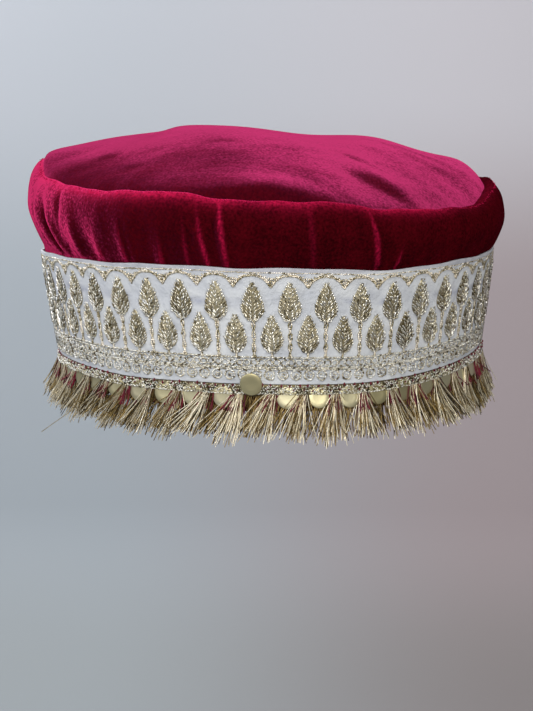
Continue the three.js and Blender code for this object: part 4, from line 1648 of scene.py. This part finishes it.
def stage():
    """A pale floor that curves up into a plain backdrop."""
    arc = [math.pi / 2 * k / COVE_STEPS for k in range(COVE_STEPS + 1)]
    profile = [(-STAGE_HALF_WIDTH, FLOOR_Z)]
    profile += [(WALL_Y - COVE + COVE * math.sin(a), FLOOR_Z + COVE - COVE * math.cos(a)) for a in arc]
    profile.append((WALL_Y, WALL_TOP))
    vertices = [(x, y, z) for y, z in profile for x in (-STAGE_HALF_WIDTH, STAGE_HALF_WIDTH)]
    faces = [(2 * i, 2 * i + 1, 2 * i + 3, 2 * i + 2) for i in range(len(profile) - 1)]
    mesh = new_mesh("backdrop", vertices, faces)
    mesh.materials.append(stage_material())
    new_object("backdrop", mesh)


def softbox(name, place, target, size, watts, colour):
    data = bpy.data.lights.new(name, "AREA")
    data.shape = "RECTANGLE"
    data.size, data.size_y = size
    data.energy = watts
    data.color = linear(colour)[:3]
    light = new_object(name, data)
    light.location = place
    light.rotation_euler = (Vector(target) - Vector(place)).to_track_quat("-Z", "Y").to_euler()


def lighting():
    world = bpy.data.worlds.new("studio")
    world.use_nodes = True
    sky = world.node_tree.nodes["Background"].inputs
    sky["Color"].default_value = linear(WORLD["colour"])
    sky["Strength"].default_value = WORLD["strength"]
    bpy.context.scene.world = world
    for name, box in SOFTBOXES.items():
        softbox(name, **box)
    bpy.context.scene.view_settings.view_transform = "Standard"


def dress(piece, slot, *nodes):
    """Fixes a piece to the cap and hides the imported solids that it stands in for."""
    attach(piece, "root")
    if nodes:
        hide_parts(*nodes)


photo_camera()
stage()
lighting()

side_velvet, tip_velvet = (velvet_material(name, **look) for name, look in VELVETS.items())
woven_back = backing_material()
side = velvet_side(side_velvet, woven_back)
tip = velvet_tip(tip_velvet, woven_back)
band = ribbon(ribbon_material())

gold_thread, shaded_gold_ground, cream_thread, braid_thread, fringe_gold, fringe_shaded_gold = (
    gold_thread_material(name, **look) for name, look in GOLD_THREADS.items()
)
crimson_thread = crimson_thread_material()

sewn = sewing_tree()
hung = hanging_tree()
stitch = strand("stitch")
leaves = leaf_embroidery(sewn, stitch, gold_thread, shaded_gold_ground)
scallops = scallop_embroidery(sewn, stitch, cream_thread)
borders = border_embroidery(sewn, stitch, gold_thread)
# the braid's ground takes the shaded gold as well: painted shade between its stitches
braid = braid_ground(shaded_gold_ground)
braid_sewing = braid_stitches(sewn, stitch, braid_thread, crimson_thread)
foil = sequins(sewn, sequin_material())
foil_thread = sequin_thread(sewn, stitch, gold_thread)
fringe = fringe_layer("fringe_threads", hung, fringe_gold)
fringe_back = fringe_layer("fringe_back_threads", hung, fringe_shaded_gold)
fringe_crimson = fringe_layer("fringe_crimson_threads", hung, crimson_thread)
pile = roll_pile(hung, pile_fibre_material())
bpy.data.objects.remove(stitch)

dress(side, "velvet", "crown_side")
dress(tip, "velvet", "crown_tip")
dress(pile, "velvet")
dress(band, "ribbon", "ribbon_band")
dress(braid, "gold_braid", "fringe_braid")
dress(foil, "gold_foil", "sequin_string")
dress(fringe, "gold_thread", "fringe")
for piece in [*leaves, scallops, *borders, foil_thread, fringe_back]:
    dress(piece, "gold_thread")
for piece in [*braid_sewing, fringe_crimson]:
    dress(piece, "gold_braid")
